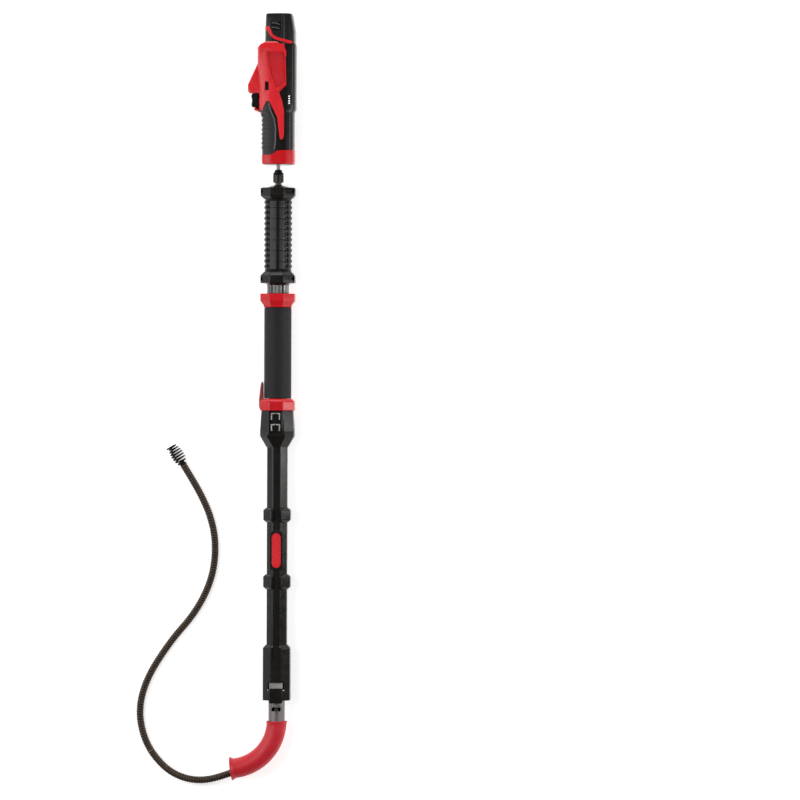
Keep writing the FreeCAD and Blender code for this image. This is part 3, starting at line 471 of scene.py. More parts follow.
def carve(form, tools, operation="DIFFERENCE"):
    """Cuts a form with others, or keeps what lies inside them. All of them are used up."""
    holders = [shown("shape", as_mesh(shape, "shape")) for shape in (form, *tools)]
    target = holders[0]
    for holder in holders[1:]:
        step = target.modifiers.new("carve", "BOOLEAN")
        step.operation = operation
        step.solver = "EXACT"
        step.object = holder
    view = bpy.context.evaluated_depsgraph_get()
    mesh = bpy.data.meshes.new_from_object(target.evaluated_get(view))
    result = bmesh.new()
    result.from_mesh(mesh)
    bpy.data.meshes.remove(mesh)
    for holder in holders:
        bpy.data.meshes.remove(holder.data)
    return result


def within(form, outline):
    """What a form holds inside an outline, front and back."""
    return carve(form, [slab(outline, -FAR, FAR)], "INTERSECT")


def both_faces(low, high):
    """A range of heights on the front, and the same on the back."""
    return (low, high), (-high, -low)


def finish_piece(name, form, body, finish, stands_for=(), crease=35, soften=0.0):
    """Turns a form into a piece of the object that rides on a body."""
    form.transform(Matrix.Diagonal((MM, MM, MM, 1)) @ Matrix.Translation(AXIS))
    mesh = as_mesh(form, name)
    mesh.polygons.foreach_set("use_smooth", [True] * len(mesh.polygons))
    mesh.set_sharp_from_angle(angle=radians(crease))
    mesh.materials.append(FINISH[finish])
    piece = shown(name, mesh)
    if soften:
        edge = piece.modifiers.new("soften", "BEVEL")
        edge.width = soften * MM
        edge.segments = 2
        edge.limit_method = "ANGLE"
        edge.angle_limit = radians(crease)
    piece.modifiers.new("even_shading", "WEIGHTED_NORMAL").keep_sharp = True
    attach(piece, body)
    if stands_for:
        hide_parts(*stands_for)
    return piece


# ---- the cable and its bulb ----

CABLE_ROUTE = [
    (-81.5, -644.0, 0.0), (-106.8, -653.2, 0.0), (-135, -657.5, -3.5), (-163, -654.5, -10.0),
    (-189, -643.5, -16.0), (-211, -624.5, -20.4), (-229, -600, -22.8), (-240, -571.5, -23.6),
    (-244.5, -540.5, -23.6), (-240.5, -508, -23.6), (-227, -473, -23.6), (-206, -438.5, -23.6),
    (-181.5, -404.5, -23.6), (-153, -372, -23.6), (-131, -336.5, -23.6), (-116.5, -299, -23.6),
    (-111, -262, -23.6), (-112.5, -225, -23.6), (-121.5, -190, -23.6), (-136, -158, -23.6),
    (-152.5, -129, -23.2), (-167.7, -104, -19.8),
]
CABLE_RADIUS = 6.35
WIRE_PITCH = 4.4   # real wire is 2.5 mm thick, drawn coarser so that its turns show
WIRE_DEPTH = 1.5


def cable_line():
    """Close points along the smooth line through the route, in order from the elbow."""
    data = bpy.data.curves.new("cable_line", "CURVE")
    data.dimensions = "3D"
    spline = data.splines.new("NURBS")
    spline.points.add(len(CABLE_ROUTE) - 1)
    for point, place in zip(spline.points, CABLE_ROUTE):
        point.co = (*((Vector(place) + AXIS) * MM), 1)
    spline.order_u = 3
    spline.use_endpoint_u = True
    spline.resolution_u = 90
    mesh = bpy.data.meshes.new_from_object(shown("cable_line", data))
    points = [vert.co / MM - AXIS for vert in mesh.vertices]
    bpy.data.meshes.remove(mesh)
    bpy.data.curves.remove(data)
    return points


def wound(run, angle):
    """The rounded crowns of the wire's turns, which climb round the cable like a thread."""
    phase = (run / WIRE_PITCH - angle / (2 * pi)) % 1
    return -WIRE_DEPTH * (1 - sqrt(max(0, 1 - (2 * phase - 1) ** 2)))


def add_cable():
    """The cable as it lies beside the tool, with the bulb on its end."""
    line = cable_line()
    form = tube_along(line, CABLE_RADIUS, 14, wound)
    cable = finish_piece("coiled_cable", form, "root", "spring_wire",
                         ("free_cable",), crease=70)
    bulb = add_bulb(line[-1], (line[-1] - line[-9]).normalized())


def add_bulb(foot, heading):
    """An open bulb of spring wire, with its last turn drawn out straight across the tip."""
    turns, steps, height = 7, 30, 36.0
    right = heading.cross(Vector((0, 0, 1))).normalized()
    up = right.cross(heading)
    points = [foot - heading * 3 + right * 2.0, foot + right * 4.0]
    for index in range(turns * steps + 1):
        part = index / (turns * steps)
        angle = 2 * pi * turns * part
        reach = 5.4 + 5.4 * sin(0.92 * pi * part ** 0.8)
        points.append(foot + heading * (1.5 + height * part ** 0.9)
                      + (right * cos(angle) + up * sin(angle)) * reach)
    points += [points[-1] - right * step + heading * 0.5 for step in (3, 9, 18)]
    collet = plug(5.9, 4.6, 9, heading.to_track_quat("Z", "Y").to_matrix(),
                  foot + heading * 3.5)
    return finish_piece("bulb_coil", joined(tube_along(points, 1.35, 10), collet), "bulb_head",
                        "bulb_wire", ("bulb_head",), crease=50)


# ---- upper handle ----

def side_notches(y):
    """Short bars that sink round notches into the left and right shoulders, front and back."""
    radius, reach, length, lift = 3.6, 31.5, 9.0, radians(26)
    notches = []
    for side in (-1, 1):
        for face in (-1, 1):
            outward = Vector((side * cos(lift), 0, face * sin(lift)))
            turn = outward.to_track_quat("Z", "Y").to_matrix()
            notches.append(plug(radius, radius, length, turn, outward * reach + Vector((0, y, 0))))
    return notches


def add_upper_cap():
    low, high = span("upper_cap")
    flats = high.x - low.x
    top = high.y - 4.0
    form = octagon([(47.4, low.y), (flats, low.y + 6.1), (flats, top)], 1.3)
    form = carve(form, [*side_notches(top - 6.4), bar(12.9, low.y - 1, top - 12)])
    finish_piece("cap_flange", form, "upper_handle", "black_nylon",
                 ("upper_cap",))
    dome = spin_profile([(21, top - 0.6), (20.6, top + 0.5), (17.5, top + 1.5),
                         (11.5, top + 3.5), (10, high.y), (6.6, high.y), (6.4, top - 0.6)],
                        closed=True)
    finish_piece("cap_dome", dome, "upper_handle", "steel")


def add_ribbed_grip():
    """A grip with scalloped flanks and a calmer front and back with faint seams."""
    low, high = span("ribbed_grip")
    ribs, pitch = 13, 9.38
    rows = ribs * 14
    length = high.y - low.y
    profile = [(12.9, low.y)] + [(23.5, low.y + length * row / rows) for row in range(rows + 1)]
    form = spin_profile(profile + [(12.9, high.y)], 96, closed=True)
    for vert in form.verts:
        reach = hypot(vert.co.x, vert.co.z)
        if reach < 20:
            continue
        flank = abs(vert.co.x) / reach
        side = min(1, max(0, (flank - 0.72) / 0.08))
        wave = cos(2 * pi * (vert.co.y - low.y) / pitch)
        seam = max(0, cos(2 * pi * (vert.co.y - low.y) / (2 * pitch))) ** 24
        change = side * (0.55 + 1.05 * wave) - (1 - side) * (1.15 + 0.16 * seam)
        groove = exp(-((flank - 0.70) / 0.035) ** 2) * (0.9 + 0.5 * wave)
        end = min(1, (vert.co.y - low.y) / 4, (high.y - vert.co.y) / 4)
        scale = (reach + (change - groove) * end - 0.3) / reach
        vert.co.x *= scale
        vert.co.z *= scale
    finish_piece("ribbed_sleeve", form, "upper_handle", "satin_black",
                 ("ribbed_grip",), crease=60)


def add_lower_flange():
    low, high = span("lower_flange")
    flats = high.x - low.x
    under, bevel = low.y + 18.1, low.y + 31.2
    form = octagon([(flats, under), (flats, bevel), (47.4, high.y)], 1.3)
    form = carve(form, [*side_notches(under + 7.6), bar(12.8, under - 1, high.y + 1)])
    finish_piece("flange_plate", form, "upper_handle", "satin_black",
                 ("lower_flange",))
    neck = spin_profile([(12.8, low.y), (18.6, low.y), (19.1, low.y + 0.6), (19.1, under - 4),
                         (20.6, under - 1.5), (22.5, under + 0.3), (12.8, under + 0.3)], 120,
                        closed=True)
    for vert in neck.verts:
        reach = hypot(vert.co.x, vert.co.z)
        if reach > 18 and low.y + 0.2 < vert.co.y < under - 3:
            turn = atan2(vert.co.z, vert.co.x)
            scale = 1 - 0.075 * max(0, cos(12 * turn)) ** 2
            vert.co.x *= scale
            vert.co.z *= scale
    finish_piece("fluted_neck", neck, "upper_handle", "battery_black")


# ---- outer handle ----

def add_collars():
    low, high = span("upper_collar")
    form = octagon([(48, low.y), (49, low.y + 2.6), (48.6, low.y + 3.6), (60, low.y + 11.2),
                    (60, high.y)], 1.3)
    form = carve(form, [bar(13.0, low.y - 1, high.y + 1), bar(20.5, high.y - 3, high.y + 1)])
    finish_piece("upper_collar_ring", form, "root", "collar_red",
                 ("upper_collar",))
    low, high = span("lower_collar")
    form = octagon([(60, low.y), (60, high.y - 5.2), (50, high.y)], 1.3)
    form = carve(form, [bar(15.6, low.y - 1, high.y + 1, steps=48),
                        block((-31, -17.5), (low.y - 1, high.y + 1), (-7.4, 7.4)),
                        slab([(-9.4, low.y + 1.4), (7.6, low.y + 1.4), (8.6, low.y + 2.4),
                              (8.6, low.y + 9.6), (7.6, low.y + 10.6), (-9.4, low.y + 10.6),
                              (-10.4, low.y + 9.6), (-10.4, low.y + 2.4)], 29.0, 40)])
    finish_piece("lower_collar_ring", form, "root", "collar_red",
                 ("lower_collar",))


def add_foam():
    low, high = span("foam_grip")
    form = spin_profile([(15.6, low.y + 0.2), (22.9, low.y + 0.2), (23.7, low.y + 0.9)]
                        + [(23.9, low.y + 2 + 3 * row) for row in range(52)]
                        + [(23.7, high.y - 0.9), (22.9, high.y - 0.2), (15.6, high.y - 0.2)],
                        96, closed=True)
    sleeve = finish_piece("foam_sleeve", form, "root", "foam", ("foam_grip",))


def add_lever():
    low, high = span("release_lever")
    outline = [(-32.3, -0.6), (-32.4, 11.4), (-31.4, 20), (-30.4, 30), (-29.2, 38), (-28, 41.6),
               (-26.8, 42.6), (-25.6, 41.6), (-24.9, 39), (-24.7, 12.4), (-21, 7.4), (-19.2, 1),
               (-19.6, -3), (-22.4, -6.2), (-25.5, -7.2), (-28.8, -6.4), (-31.5, -4)]
    form = crowned(outline, low.z, high.z, 1.6, 4)
    finish_piece("flip_lever", form, "release_lever", "lever_red",
                 ("release_lever",), crease=40)


# ---- housing ----

def add_housing():
    low, high = span("housing_front")
    form = spin_profile([(flats / 2 / cos(pi / 8), along) for flats, along in
                         ((36.5, low.y), (59.4, low.y + 20.1), (59.4, low.y + 28.6),
                          (55, high.y))], 8, 22.5)
    shoulder = low.y + 20.1
    for vert in form.verts:
        if abs(vert.co.y - shoulder) < 0.1 and abs(vert.co.z) > 20:
            vert.co.x *= 1.32
        if abs(vert.co.y - low.y) < 0.1 and abs(vert.co.z) > 15:
            vert.co.x *= 0.72
    round_off(form, form.edges[:], 1.0)
    left, right, floor = -12.2, 9.2, 20
    upper, lower = high.y - 1, high.y - 40
    form = carve(form, [block((left, right), (lower, upper), (floor, 40)),
                        bar(15.6, low.y + 20, high.y + 1, steps=48),
                        octagon([(35.5, low.y - 1), (35.5, low.y + 24)], 0),
                        block((12.6, 14.0), (lower - 1, high.y - 3), (27.2, 40)),
                        block((16.4, 17.6), (lower + 1, high.y - 3), (25.6, 40))]
                 + [bar(2.8, -40, -16, x, y, along="Z") for x in (-21.5, 21.5)
                    for y in (-16, -42)])
    finish_piece("clamp_housing", form, "root", "black_nylon",
                 ("housing_front", "housing_back"), crease=30)
    frame_bars = [crowned(rectangle(x, x + 1.6, lower - 1.2, upper), 26, 29.4, 0.5, 3)
                  for x in (left - 1.6, right)]
    sill = [(left - 1.6 + (right - left + 3.2) * part / 8,
             lower - 1.6 - 2.2 * sin(pi * part / 8), 29.2) for part in range(9)]
    finish_piece("window_frame", joined(*frame_bars, tube_along(sill, 0.8, 8)), "root",
                 "black_nylon")
    add_window_clips()


def add_window_clips():
    """Two plated clips, each a bridge with two legs and a small notch in its bridge."""
    low, high = span("window_clips")
    half, leg, tall = 8.4, 2.3, 12.5
    middle = (low.x + high.x) / 2
    forms = []
    for top in (high.y, low.y + tall):
        outline = [(-half, -tall), (-half + leg, -tall), (-half + leg, -2.4), (-1.1, -2.4),
                   (-1.1, -1.3), (1.1, -1.3), (1.1, -2.4), (half - leg, -2.4),
                   (half - leg, -tall), (half, -tall), (half, 0), (-half, 0)]
        forms.append(slab([(middle + x, top + y) for x, y in outline], 20.1, high.z))
    finish_piece("spring_clips", joined(*forms), "root", "plated",
                 ("window_clips",), soften=0.35)


# ---- guide tube, rings, badge ----

def add_guide_tube():
    low, high = span("guide_tube")
    flats = high.x - low.x
    badge_low, badge_high = span("badge_plate")
    outer = octagon([(flats, low.y), (flats, high.y)], 2.0, 3)
    form = carve(outer, [bar(13.1, low.y - 1, high.y + 1, steps=48)])
    finish_piece("guide_shell", form, "root", "black_nylon",
                 ("guide_tube",), crease=30)
    face, y_low, y_high = flats / 2, badge_low.y - 3.5, badge_high.y + 3.5
    half, wide, chamfer = 8.1, 11.8, 5.5
    bezel = crowned([(-wide + 4, y_low), (wide - 4, y_low), (wide, y_low + 4),
                     (wide, y_high - chamfer), (wide - chamfer, y_high),
                     (-wide + chamfer, y_high), (-wide, y_high - chamfer), (-wide, y_low + 4)],
                    face - 5, face + 1.3, 1.2, 3, both=False)
    pill = stadium(half, badge_low.y + 0.6, badge_high.y - 0.6)
    bezel = carve(bezel, [slab([(x * 1.06, y) for x, y in pill], face - 0.6, 30)])
    finish_piece("badge_bezel", bezel, "root", "black_nylon", crease=28)
    plate = crowned(pill, face - 0.9, face + 0.9, 0.6, 3, both=False)
    inner = stadium(half - 1.3, badge_low.y + 1.9, badge_high.y - 1.9)
    plate = carve(plate, [slab(inner, face + 0.5, 30)])
    finish_piece("blank_badge", plate, "root", "driver_red", ("badge_plate",))


def guide_bore(low, high):
    """The octagonal room that the guide tube passes through."""
    return octagon([(35.6, low), (35.6, high)], 0)


def stadium(half, low, high):
    """A long outline with round ends."""
    ends = [pi * step / 12 for step in range(13)]
    return ([(half * cos(turn), high - half + half * sin(turn)) for turn in ends]
            + [(-half * cos(turn), low + half - half * sin(turn)) for turn in ends])


def add_rings():
    for node in ("ring_upper", "ring_lower"):
        low, high = span(node)
        flats = high.x - low.x
        form = octagon([(37, low.y), (flats, low.y + 4.4), (flats, high.y - 4.4),
                        (37, high.y)], 1.3)
        channels = [block((-5.4, 6.6), (low.y - 1, high.y + 1), zone)
                    for zone in both_faces(17, 40)]
        pockets = [block((7.8, 15.6), place, (17.4, 40)) for place in
                   ((low.y - 1, low.y + 2.6), (high.y - 2.6, high.y + 1))]
        form = carve(form, [guide_bore(low.y - 1, high.y + 1)] + channels + pockets)
        finish_piece(node + "_band", form, "root", "black_nylon", (node,),
                     crease=30)


# ---- socket and latch ----

def shoulder_ramp(top, side):
    """A wedge that carries the guide tube's front flat down into the socket's face."""
    wedge = block((-5.4, 6.6), (top - 34, top + 2), (17.6, 40))
    for vert in wedge.verts:
        if vert.co.y < top - 30 and vert.co.z < 20:
            vert.co.z = 24.4
        vert.co.z *= side
    face_outward(wedge)
    return wedge


def add_socket():
    """The tube socket, its press tab and the toothed block on the steel tube."""
    low, high = span("tube_socket")
    flats = high.x - low.x
    slot_low, slot_high = span("latch_strip")[0].y, span("latch_strip")[1].y
    form = octagon([(flats, low.y), (flats, high.y - 6.1), (36.6, high.y)], 1.5, 3)
    form = carve(form, [guide_bore(-460, high.y + 1),
                        bar(14.4, low.y - 1, -459, steps=48),
                        block((-12.3, 12.3), (low.y - 1, slot_low), (14.6, 30)),
                        block((-14, 14), (slot_low, slot_high), (14.6, 30)),
                        shoulder_ramp(high.y, 1), shoulder_ramp(high.y, -1)])
    finish_piece("socket_shell", form, "root", "black_nylon",
                 ("tube_socket",), crease=30)
    low, high = span("tube_latch")
    tab = crowned([(low.x, low.y + 2), (low.x + 2, low.y), (high.x - 2, low.y),
                   (high.x, low.y + 2), (high.x, high.y), (low.x, high.y)],
                  low.z, high.z, 1.4, 4)
    tab = carve(tab, [bar(1.26, -20, 20, -497.5, 20, along="X"),
                      *[block((-8, 8), (low.y + step, low.y + step + 1.2),
                              (high.z - 0.8, 30)) for step in (4, 7, 10)]])
    finish_piece("latch_tab", tab, "tube_latch", "black_nylon",
                 ("tube_latch",), crease=30)
    low, high = span("detent_block")
    top = high.z - 0.9
    bed = carve(block((low.x, high.x), (low.y, high.y), (low.z, top)),
                [bar(14.32, low.y - 1, high.y + 1, steps=96)])
    finish_piece("detent_bed", bed, "root", "black_nylon", ("detent_block",))
    pitch = (high.x - low.x) / 5
    teeth = joined(*[block((low.x + (row + 0.18) * pitch, low.x + (row + 0.82) * pitch),
                           (low.y + 0.3, high.y - 0.3), (top - 0.3, high.z))
                     for row in range(5)])
    finish_piece("detent_teeth", teeth, "root", "plated")


# ---- rubber elbow ----

BEND_RADIUS = 84
BEND_START = -552


def add_elbow():
    """A bent rubber sleeve, a little waisted, with a rolled lip at each end."""
    sweep, steps, sides, flare = radians(82), 48, 48, 8
    form = bmesh.new()
    ring = bmesh.ops.create_circle(form, segments=sides, radius=17.4)["verts"]
    bmesh.ops.rotate(form, verts=ring, cent=(0, 0, 0), matrix=Matrix.Rotation(pi / 2, 3, "X"))
    bmesh.ops.translate(form, verts=ring, vec=(0, BEND_START, 0))
    centre = Vector((-BEND_RADIUS, BEND_START, 0))
    bent = bmesh.ops.spin(form, geom=form.verts[:] + form.edges[:], cent=centre,
                          axis=(0, 0, 1), angle=-sweep, steps=steps, use_merge=False)
    heading = Vector((-sin(sweep), -cos(sweep), 0))
    last = [item for item in bent["geom_last"] if isinstance(item, bmesh.types.BMEdge)]
    mouth = centre + Vector((cos(sweep), -sin(sweep), 0)) * BEND_RADIUS
    for reach, radius in ((flare * 0.3, 18.0), (flare * 0.6, 19.4), (flare * 0.86, 20.8),
                          (flare, 20.7)):
        rim = bmesh.ops.extrude_edge_only(form, edges=last)["geom"]
        last = [item for item in rim if isinstance(item, bmesh.types.BMEdge)]
        verts = [item for item in rim if isinstance(item, bmesh.types.BMVert)]
        middle = sum((vert.co for vert in verts), Vector()) / len(verts)
        for vert in verts:
            vert.co = mouth + heading * reach + (vert.co - middle).normalized() * radius
    for vert in form.verts:
        turn = atan2(BEND_START - vert.co.y, vert.co.x - centre.x)
        if turn < radians(4):
            spine = centre + Vector((cos(turn), -sin(turn), 0)) * BEND_RADIUS
            lip = 0.9 * cos(turn / radians(4) * pi / 2)
            vert.co += (vert.co - spine).normalized() * lip
    face_outward(form)
    bmesh.ops.solidify(form, geom=form.faces[:], thickness=2.7)
    face_outward(form)
    finish_piece("elbow_sleeve", form, "root", "elbow_rubber",
                 ("elbow_boot",), crease=50, soften=0.5)


# ---- drive line ----

def add_coupler():
    low, high = span("coupler_sleeve")
    wall = [(6.9, low.y), (9.0, low.y), (9.7, low.y + 0.7)]
    for step in range(4):
        foot = low.y + 1.4 + 2.9 * step
        wall += [(9.7, foot), (9.7, foot + 1.5), (8.7, foot + 1.9), (8.7, foot + 2.5)]
    wall += [(9.6, low.y + 13.2), (8.9, high.y - 0.5), (8.4, high.y), (8.2, high.y),
             (8.2, low.y + 2.5), (6.9, low.y + 2.5)]
    form = spin_profile(wall, 48, closed=True)
    finish_piece("knurled_sleeve", form, "coupler_sleeve", "black_oxide",
                 ("coupler_sleeve",))
    low, high = span("coupler_body")
    form = spin_profile([(3.2, low.y), (6.5, low.y), (6.5, high.y - 9.9), (7.8, high.y - 9.9),
                         (7.8, high.y - 8.7), (7.5, high.y - 8.4), (7.3, high.y - 4.6),
                         (6.5, high.y - 0.7), (6.0, high.y), (3.7, high.y)], 40)
    finish_piece("coupler_core", form, "drive_line", "black_oxide",
                 ("coupler_body",))


# ---- driver ----

# place along the tool, left edge, right edge, half height
DRIVER_STATIONS = [
    (423.5, -26.4, 26.7, 25.2), (424.2, -27.6, 27.9, 26.4), (426, -28.2, 28.5, 27),
    (450, -28.2, 28.5, 27), (480, -28.2, 28.5, 27), (507, -28.2, 28.5, 27),
    (511, -30, 28.5, 27), (514.5, -32.3, 28.5, 27), (517, -33.4, 29.8, 27),
    (520.5, -33.4, 31.7, 27), (536, -33.4, 31.7, 27), (552, -33.4, 31.7, 27),
    (576, -35, 31.7, 27), (599, -36.6, 31.7, 27), (625, -36.6, 31.7, 27),
    (630.5, -33.9, 31.7, 27), (632.7, -32.4, 31.1, 26.5), (633.5, -31.6, 30.2, 25.6),
]
HOOD_STATIONS = [
    (606, -37.6, 32.4, 28.6), (625, -37.6, 32.4, 29.4), (631, -36, 32.0, 29.4),
    (635, -34, 31.0, 28.4), (637, -32, 29.4, 26.8), (638, -30.5, 28, 25.2),
]
NOSE_OUTLINE = [
    (-24, 508), (-30.2, 512.6), (-35.5, 516.2), (-41.4, 517.8), (-42.2, 520), (-41.4, 522.2),
    (-37, 521.2), (-33.4, 523), (-33.4, 548), (-50.5, 548), (-53.2, 552), (-53.2, 562.8),
    (-36.6, 599), (-24, 599),
]
RED_REGION = [
    (-60, 660), (12, 660), (12, 633), (14.2, 620), (15.4, 571), (15.8, 561), (3.2, 548.6),
    (8.4, 533), (11.4, 520), (11.9, 514), (11.9, 476), (11.2, 470.5), (9.4, 466.6),
    (7.2, 465.4), (5.2, 466.8), (4.1, 470.5), (3.2, 477), (-0.3, 505), (-10.5, 526),
    (-14.5, 533), (-19.5, 533), (-24.5, 523), (-27.2, 513), (-34, 509), (-60, 509),
]
RUBBER_REGION = [
    (-60, 438), (-9.2, 439.4), (-5.2, 443), (-2.4, 450), (-1.4, 462), (-1.2, 486), (-4, 502),
    (-11, 517), (-15, 532), (-19, 532), (-24, 522.5), (-26.8, 513), (-34, 508), (-60, 508),
]
CAP_REGION = [
    (-60, 438.4), (-9.7, 439.6), (-5.5, 442), (-2, 445.5), (1, 446.8), (60, 449.2),
    (60, 400), (-60, 400),
]
PANEL = [
    (-16.3, 619.5), (9.4, 618.6), (12.2, 614), (13.1, 564.4), (4.7, 558.3), (-2.3, 555.6),
    (-5.8, 567.9), (-10.5, 576.6), (-14, 595.9), (-16.3, 611.6),
]
BROW = [
    (-25.4, 548), (-22.4, 548), (-21.8, 569), (-13.6, 570), (-11.6, 573), (-14.6, 577),
    (-17.4, 596), (-19.0, 611.6), (-19.2, 621), (-25, 621), (-27.2, 600),
]
LEDGE = [
    (-3.6, 551), (3.4, 552.4), (14.8, 562.4), (14.8, 566.4), (13, 566.4), (4.4, 558.8),
    (-3.0, 556.2),
]
MOUTH_RIM = [
    (-36.6, 625.5), (-31, 631.5), (-22, 636.8), (-9, 637.8), (1, 636), (10, 630), (15.4, 621),
    (15.6, 611), (12.6, 611), (11, 618.6), (3, 620.6), (-17.8, 620.6), (-22, 624.2),
]


def grown(outline, by):
    """An outline moved outwards by a few tenths, from corner to corner."""
    count = len(outline)
    area = sum(a[0] * b[1] - b[0] * a[1] for a, b in zip(outline, outline[1:] + outline[:1]))
    side = copysign(1, area)
    moved = []
    for index in range(count):
        before, here, after = (Vector(outline[(index + step) % count]) for step in (-1, 0, 1))
        first = (here - before).normalized()
        second = (after - here).normalized()
        normal = Vector((first.y + second.y, -first.x - second.x)) * side
        normal.normalize()
        half = max(0.5, normal.dot(Vector((first.y, -first.x)) * side))
        moved.append(tuple(here + normal * by / half))
    return moved


def driver_form(by=0.0):
    """The driver's rounded body, from the skin outwards or inwards."""
    middle = (DRIVER_STATIONS[0][0] + DRIVER_STATIONS[-1][0]) / 2
    return lofted([(place + copysign(by, place - middle), left - by, right + by, half + by)
                   for place, left, right, half in DRIVER_STATIONS])


def skin(x, y):
    """How high the driver's skin stands above the axis over a point."""
    for before, after in zip(DRIVER_STATIONS, DRIVER_STATIONS[1:]):
        if before[0] <= y <= after[0]:
            part = (y - before[0]) / (after[0] - before[0])
            left, right, half = (a + (b - a) * part for a, b in zip(before[1:], after[1:]))
            off = abs(x - (left + right) / 2) / ((right - left) / 2)
            return half * (1 - off ** 4) ** 0.25


def patch(by, *outlines):
    """Regions of the driver's skin, standing proud by so many millimetres."""
    return carve(driver_form(by), [joined(*(slab(outline, *zone) for outline in outlines
                                            for zone in both_faces(5, FAR)))], "INTERSECT")


def skin_beads(line, sink, radius, sides):
    """One bead along the driver's front skin and the same along its back, a little sunk."""
    return [tube_along([(x, y, side * (skin(x, y) - sink)) for x, y in line], radius, sides)
            for side in (-1, 1)]


MOTOR_BORE = 20.4
MOTOR_FOOT = 428.4
SPINDLE_BORE = 4.2


def motor_bay():
    return bar(MOTOR_BORE, MOTOR_FOOT, 524.5, steps=48)


def trigger_bay():
    return block((-60, -28), (523.2, 547.8), (-9.5, 9.5))


def inner_bays():
    """The hollows for the motor, its spindle, the battery's stem and the trigger."""
    return [motor_bay(), bar(SPINDLE_BORE, 418, 430),
            block((-12.7, 27.7), (552.5, 650), (-20.5, 20.5)), trigger_bay(),
            block((-29, -2), (530, 541), (-5, 5))]


def screw_holes():
    return [bar(2.8, -FAR, -21, x, y, along="Z") for x, y in
            ((24.4, 458), (24.4, 500), (25, 538), (-28, 575), (-28, 612))]


def selector_slot():
    return [block((-21.3, -15.2), (552, 567), (-FAR, FAR))]


def add_black_body():
    """The black inner body, whose back is the ribbed spine beside the red shell."""
    panels = [slab(grown(PANEL, 1.2), *zone) for zone in both_faces(22.5, FAR)]
    form = carve(driver_form(-0.7), inner_bays() + panels + screw_holes() + selector_slot())
    finish_piece("spine_body", form, "driver", "black_nylon",
                 ("spine_cover",), crease=32)
    beads = []
    for x, low, high in ((25.6, 519, 632), (22.0, 448, 512)):
        line = [(x, low + (high - low) * step / 12) for step in range(13)]
        beads += skin_beads(line, 0.6, 0.8, 8)
    finish_piece("spine_beads", joined(*beads), "driver", "battery_black")
    low, high = span("gauge_lamps")
    bezel = crowned(rectangle(low.x - 1.4, high.x + 1.4, low.y - 2, high.y + 2),
                    20, high.z - 0.25, 1.0, 3, both=False)
    finish_piece("lamp_bezel", bezel, "driver", "battery_black")


def add_red_shell():
    """The red shell over the upper body, with its sunk panel, trigger nose and guard spur."""
    sunk = [slab(PANEL, *zone) for zone in both_faces(24.4, FAR)]
    shell = carve(within(driver_form(), RED_REGION),
                  sunk + screw_holes() + selector_slot() + inner_bays())
    nose = carve(crowned(NOSE_OUTLINE, -15, 15, 3.5, 4), inner_bays())
    hood = carve(within(lofted(HOOD_STATIONS), MOUTH_RIM), inner_bays())
    brow = carve(patch(1.5, BROW), selector_slot() + screw_holes())
    finish_piece("red_shell", joined(shell, nose, hood, brow, patch(1.5, LEDGE)), "driver",
                 "driver_red", ("driver_shell_front", "driver_shell_back"),
                 crease=32)


def add_panels():
    """A blank panel sunk into each face of the red shell, in a darker red that is painted shade of
    the recess.
    """
    plates = [crowned(grown(PANEL, -1.0), *zone, 0.5, 3) for zone in both_faces(22, 25.2)]
    finish_piece("blank_panels", joined(*plates), "driver", "shaded_panel_red")


def add_nose_cap():
    form = carve(within(driver_form(0.3), CAP_REGION),
                 [bar(SPINDLE_BORE, 418, 460), bar(MOTOR_BORE, MOTOR_FOOT, 460, steps=48)])
    finish_piece("red_nose_cap", form, "driver", "collar_red", ("nose_cap",),
                 crease=32)


def add_grip_rubber():
    """The rubber overmould: slanted ribs on its face and a bead along its inner edge, the bead
    painted grey as a highlight.
    """
    form = carve(within(driver_form(-0.4), RUBBER_REGION), [motor_bay(), trigger_bay()])
    ribs = []
    for index in range(9):
        y = 446 + 7.9 * index
        right = -8.5 if index < 7 else -13.5
        ribs.append([(-40, y + 7.6), (-27, y + 4.4), (right, y), (right, y + 3.4),
                     (-27, y + 8.0), (-40, y + 11.2)])
    finish_piece("grip_rubber", joined(form, patch(0.8, *ribs)), "driver", "black_rubber",
                 ("grip_overmould",), crease=32)
    # the bead is black rubber; its grey is a painted highlight
    edge = [(-15, 529), (-11.6, 516), (-5.4, 502), (-3.2, 486), (-3.4, 462), (-5.4, 449)]
    finish_piece("grip_bead", joined(*skin_beads(edge, 0.3, 1.1, 10)), "driver",
                 "highlight_grey_rubber")


def add_trigger():
    low, high = span("trigger")
    outline = [(high.x, low.y), (high.x, high.y), (low.x + 3, high.y), (low.x + 0.6, high.y - 2),
               (low.x, high.y - 5), (low.x + 1.1, high.y - 10), (low.x + 1.3, high.y - 14),
               (low.x + 0.4, low.y + 5), (low.x + 0.6, low.y + 2), (low.x + 2.4, low.y + 0.2)]
    form = crowned(outline, low.z, high.z, 2.0, 4)
    form = carve(form, [block((low.x + 3, high.x - 2), (low.y + 4 + 4 * step,
                                                        low.y + 4.8 + 4 * step), (8.2, 12))
                        for step in range(4)])
    finish_piece("trigger_blade", form, "trigger", "satin_black", ("trigger",))


def add_selector():
    low, high = span("direction_selector")
    form = crowned(rectangle(low.x, high.x, low.y, high.y), low.z, high.z, 0.8, 3)
    finish_piece("selector_bar", form, "direction_selector", "black_nylon",
                 ("direction_selector",))


# ---- battery ----

